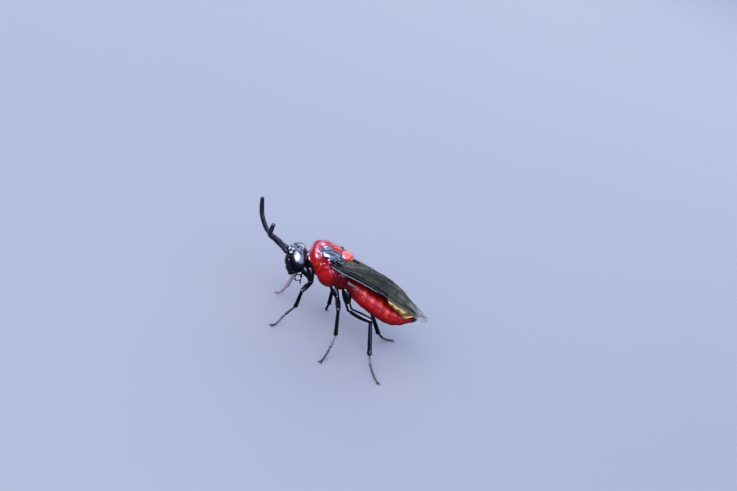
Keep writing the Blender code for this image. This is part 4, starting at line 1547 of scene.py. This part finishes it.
@dataclass
class Sheath:
    """Short black sheath of the saw, under the end of the abdomen."""

    voxel: float = 0.02
    line: Rows = ((6.1, 0.0, 3.06), (6.5, 0.0, 3.24), (6.84, 0.0, 3.46), (7.02, 0.0, 3.62))

    def build(self) -> None:
        """Builds and dresses the sheath."""
        middle = smooth_line(self.line, 8)
        share = np.linspace(0.0, 1.0, len(middle))
        radii = 0.2 * (0.7 + 0.5 * np.sin(share * math.pi * 0.8)) * (1 - 0.45 * share)
        piece = fuse("saw_sheath", [rod(middle, radii, 24, 0.7)], self.voxel)
        dress(piece, Jet(), Slot.BLACK, "sheath")


@dataclass(frozen=True)
class Down:
    """Fine hairs that stand on a piece and are joined into one mesh."""

    count: int
    length: float
    seed: int
    colour: Colour
    density: Callable[[Array], Array] | None = None
    radius: float = 0.0036
    lean: float = 0.9
    hair: Sequence[tuple[int, ...]] = (
        (0, 2, 1), (0, 1, 4, 3), (1, 2, 5, 4), (2, 0, 3, 5), (3, 4, 6), (4, 5, 6), (5, 3, 6),
    )

    def roots(self, skin: Piece) -> tuple[Array, Array]:
        """Scatters the roots evenly over the piece.

        Args:
            skin: The piece that carries the hairs, already laid over the frame.

        Returns:
            Places and outward directions, in millimetres.
        """
        faces = skin.data.polygons
        places = read(faces, "center", 3).astype(float) / MM
        weights = read(faces, "area", 1)[:, 0].astype(float)
        if self.density is not None:
            weights = weights * self.density(places - SHIFT)
        chance = np.random.default_rng(self.seed)
        picked = chance.choice(len(weights), self.count, False, weights / weights.sum())
        return places[picked], read(faces, "normal", 3)[picked].astype(float)

    def build(self, skin: Piece) -> None:
        """Builds and dresses the hairs.

        Args:
            skin: The piece that carries them.
        """
        places, normals = self.roots(skin)
        chance = np.random.default_rng(self.seed + 1)
        back = np.array((0.8, 0.0, -0.6)) + chance.normal(0.0, 0.25, (self.count, 3))
        back = units(back - np.sum(back * normals, axis=1)[:, None] * normals, 1e-9)
        side = np.cross(normals, back)
        half = (self.length * chance.uniform(0.6, 1.15, self.count))[:, None] * 0.5
        middle = places + half * units(normals + 0.4 * self.lean * back)
        tip = middle + half * units(normals * 0.55 + self.lean * back)
        corners = []
        for level, width in ((places - normals * 0.01, 1.0), (middle, 0.7)):
            for angle in (0.0, 2.1, 4.2):
                spread = math.cos(angle) * side + math.sin(angle) * back
                corners.append(level + spread * self.radius * width)
        points = np.stack([*corners, tip], 1).reshape(-1, 3) - SHIFT
        faces = [tuple(7 * i + k for k in face) for i in range(self.count) for face in self.hair]
        piece = join(f"{skin.name}_down", [Shell(points, faces)])
        dress(piece, Jet(self.colour, shade(self.colour, 1.8), 0.4, 0.5, 0.05, 0.001), Slot.BLACK)


@dataclass
class Studio:
    """Floor, lights and the camera of the photograph."""

    azimuth: float = -8.0
    elevation: float = 26.0
    roll: float = 27.0
    scale: float = 14.5
    distance: float = 150.0
    origin: Row = (302.9, 322.1)
    focus: Row = (0.8, -0.6, 4.5)
    sensor: float = 36.0
    floor_half: float = 1.2
    floor_colour: Colour = (0.215, 0.203, 0.196)
    lamp_distance: float = 120.0

    def camera(self) -> None:
        """Places the camera so that the design's origin falls on its pixel of the photograph."""
        wide, tall = PHOTO_SIZE
        a, e, q = (math.radians(v) for v in (self.azimuth, self.elevation, self.roll))
        back = np.array((math.sin(a) * math.cos(e), -math.cos(a) * math.cos(e), math.sin(e)))
        right = np.array((math.cos(a), math.sin(a), 0.0))
        up = np.cross(back, right)
        across = math.cos(q) * right + math.sin(q) * up
        upward = -math.sin(q) * right + math.cos(q) * up
        place = (SHIFT + across * ((wide / 2 - self.origin[0]) / self.scale)
                 + upward * ((self.origin[1] - tall / 2) / self.scale))
        reach = (np.array(self.focus) + SHIFT) @ back + self.distance
        place = place - back * (place @ back) + back * reach
        data = bpy.data.cameras.new("camera")
        data.sensor_width = self.sensor
        data.lens = self.sensor * self.distance * self.scale / wide
        data.clip_start, data.clip_end = 0.001, 10.0
        camera = bpy.data.objects.new("camera", data)
        bpy.context.scene.collection.objects.link(camera)
        matrix = np.eye(4)
        matrix[:3] = np.stack([across, upward, back, place * MM], 1)
        camera.matrix_world = Matrix(matrix.tolist())
        bpy.context.scene.camera = camera

    def floor(self) -> None:
        """Lays the pale matt floor."""
        corners = np.array(((-1, -1, 0), (1, -1, 0), (1, 1, 0), (-1, 1, 0))) * self.floor_half
        floor = join("floor", [Shell(corners, [(0, 1, 2, 3)])])
        paint = Paint("floor", Roughness=0.75)
        cloud = paint.noise(9.0) * 0.2
        paint.feed(Base_Color=paint.mix(cloud, self.floor_colour, shade(self.floor_colour, 0.93)))
        floor.data.materials.append(paint.material)

    def lamp(self, name: str, direction: Row, size: Row, brightness: float, colour: Colour) -> None:
        """Adds a soft panel that faces the animal.

        Args:
            name: The lamp's name.
            direction: Where it hangs, seen from the animal.
            size: Its width and height, in millimetres.
            brightness: How bright its face looks.
            colour: Its colour.
        """
        data = bpy.data.lights.new(name, "AREA")
        data.shape = "RECTANGLE"
        data.size, data.size_y = (side * MM for side in size)
        data.energy = brightness * math.pi * data.size * data.size_y
        data.color = colour
        lamp = bpy.data.objects.new(name, data)
        bpy.context.scene.collection.objects.link(lamp)
        away = Vector(direction).normalized()
        middle = Vector(np.array((0.5, 0.0, 4.0)) + SHIFT) * MM
        lamp.location = middle + away * (self.lamp_distance * MM)
        lamp.rotation_mode = "QUATERNION"
        lamp.rotation_quaternion = (-away).to_track_quat("-Z", "Y")

    def world(self) -> None:
        """Sets the soft light that comes from all round, with a bright part before the face."""
        world = bpy.data.worlds.new("studio")
        bpy.context.scene.world = world
        world.use_nodes = True
        graph = Graph(world.node_tree)
        where = graph.node("ShaderNodeTexCoord", {}, [], "Generated")
        height = graph.node("ShaderNodeSeparateXYZ", {}, [where], "Z")
        facing, bright = (
            graph.node("ShaderNodeVectorMath", {"operation": "DOT_PRODUCT"}, [where, way], "Value")
            for way in ((-0.4, -0.55, 0.73), (-0.4, -0.66, 0.64)))
        ring = height.eased(0.16, 0.4) * (1.0 - 0.65 * height.eased(0.8, 0.97))
        glow = ring * (0.45 + 0.55 * facing.eased(0.0, 0.8))
        sky = graph.mix(glow, (0.02, 0.022, 0.03), (1.5, 1.85, 3.15))
        sky = graph.mix(bright.eased(0.82, 0.99), sky, (4.8, 5.3, 7.0))
        graph.tree.links.new(sky.socket, graph.tree.nodes["Background"].inputs["Color"])

    def build(self) -> None:
        """Sets up the whole studio."""
        view = bpy.context.scene.view_settings
        view.view_transform = "Standard"
        view.look = "Medium High Contrast"
        self.floor()
        self.world()
        self.lamp("key", (-0.6, -0.5, 0.62), (200, 120), 1.5, (0.92, 0.95, 1.0))
        self.lamp("rim", (0.1, 0.9, 0.42), (160, 70), 1.6, (0.9, 0.94, 1.0))
        self.camera()


def body_density(p: Array) -> Array:
    """Gives how dense the hairs are on the body: on head and thorax, more so low down."""
    return ease(p[:, 0], 1.6, 1.0) * (0.4 + ease(p[:, 2], 5.6, 4.6))


def leg_density(p: Array) -> Array:
    """Gives how dense the hairs are on a leg: mostly on the shin and the foot."""
    return ease(p[:, 2], 3.6, 2.6) + 0.2


def main() -> None:
    """Builds every piece of the animal and the studio round it."""
    logging.basicConfig(level=logging.INFO, format="%(name)s %(message)s")
    Down(2600, 0.1, 1, (0.085, 0.075, 0.065), body_density).build(Body().build())
    for side in Side:
        Eye(side).build()
    for part in (Ocelli(), Hinges(), Palps()):
        part.build()
    for seed, feeler in enumerate(FEELERS, 10):
        Down(900, 0.055, seed, (0.16, 0.16, 0.18)).build(feeler.build())
    for wing in (Forewing(Side.LEFT), Forewing(Side.RIGHT, -0.06), *map(Hindwing, Side)):
        wing.build()
    for seed, leg in enumerate(LEGS, 20):
        Down(700, 0.075, seed, (0.016, 0.014, 0.015), leg_density).build(leg.build())
    for part in (Sheath(), Studio()):
        part.build()


if __name__ == "__main__":
    main()
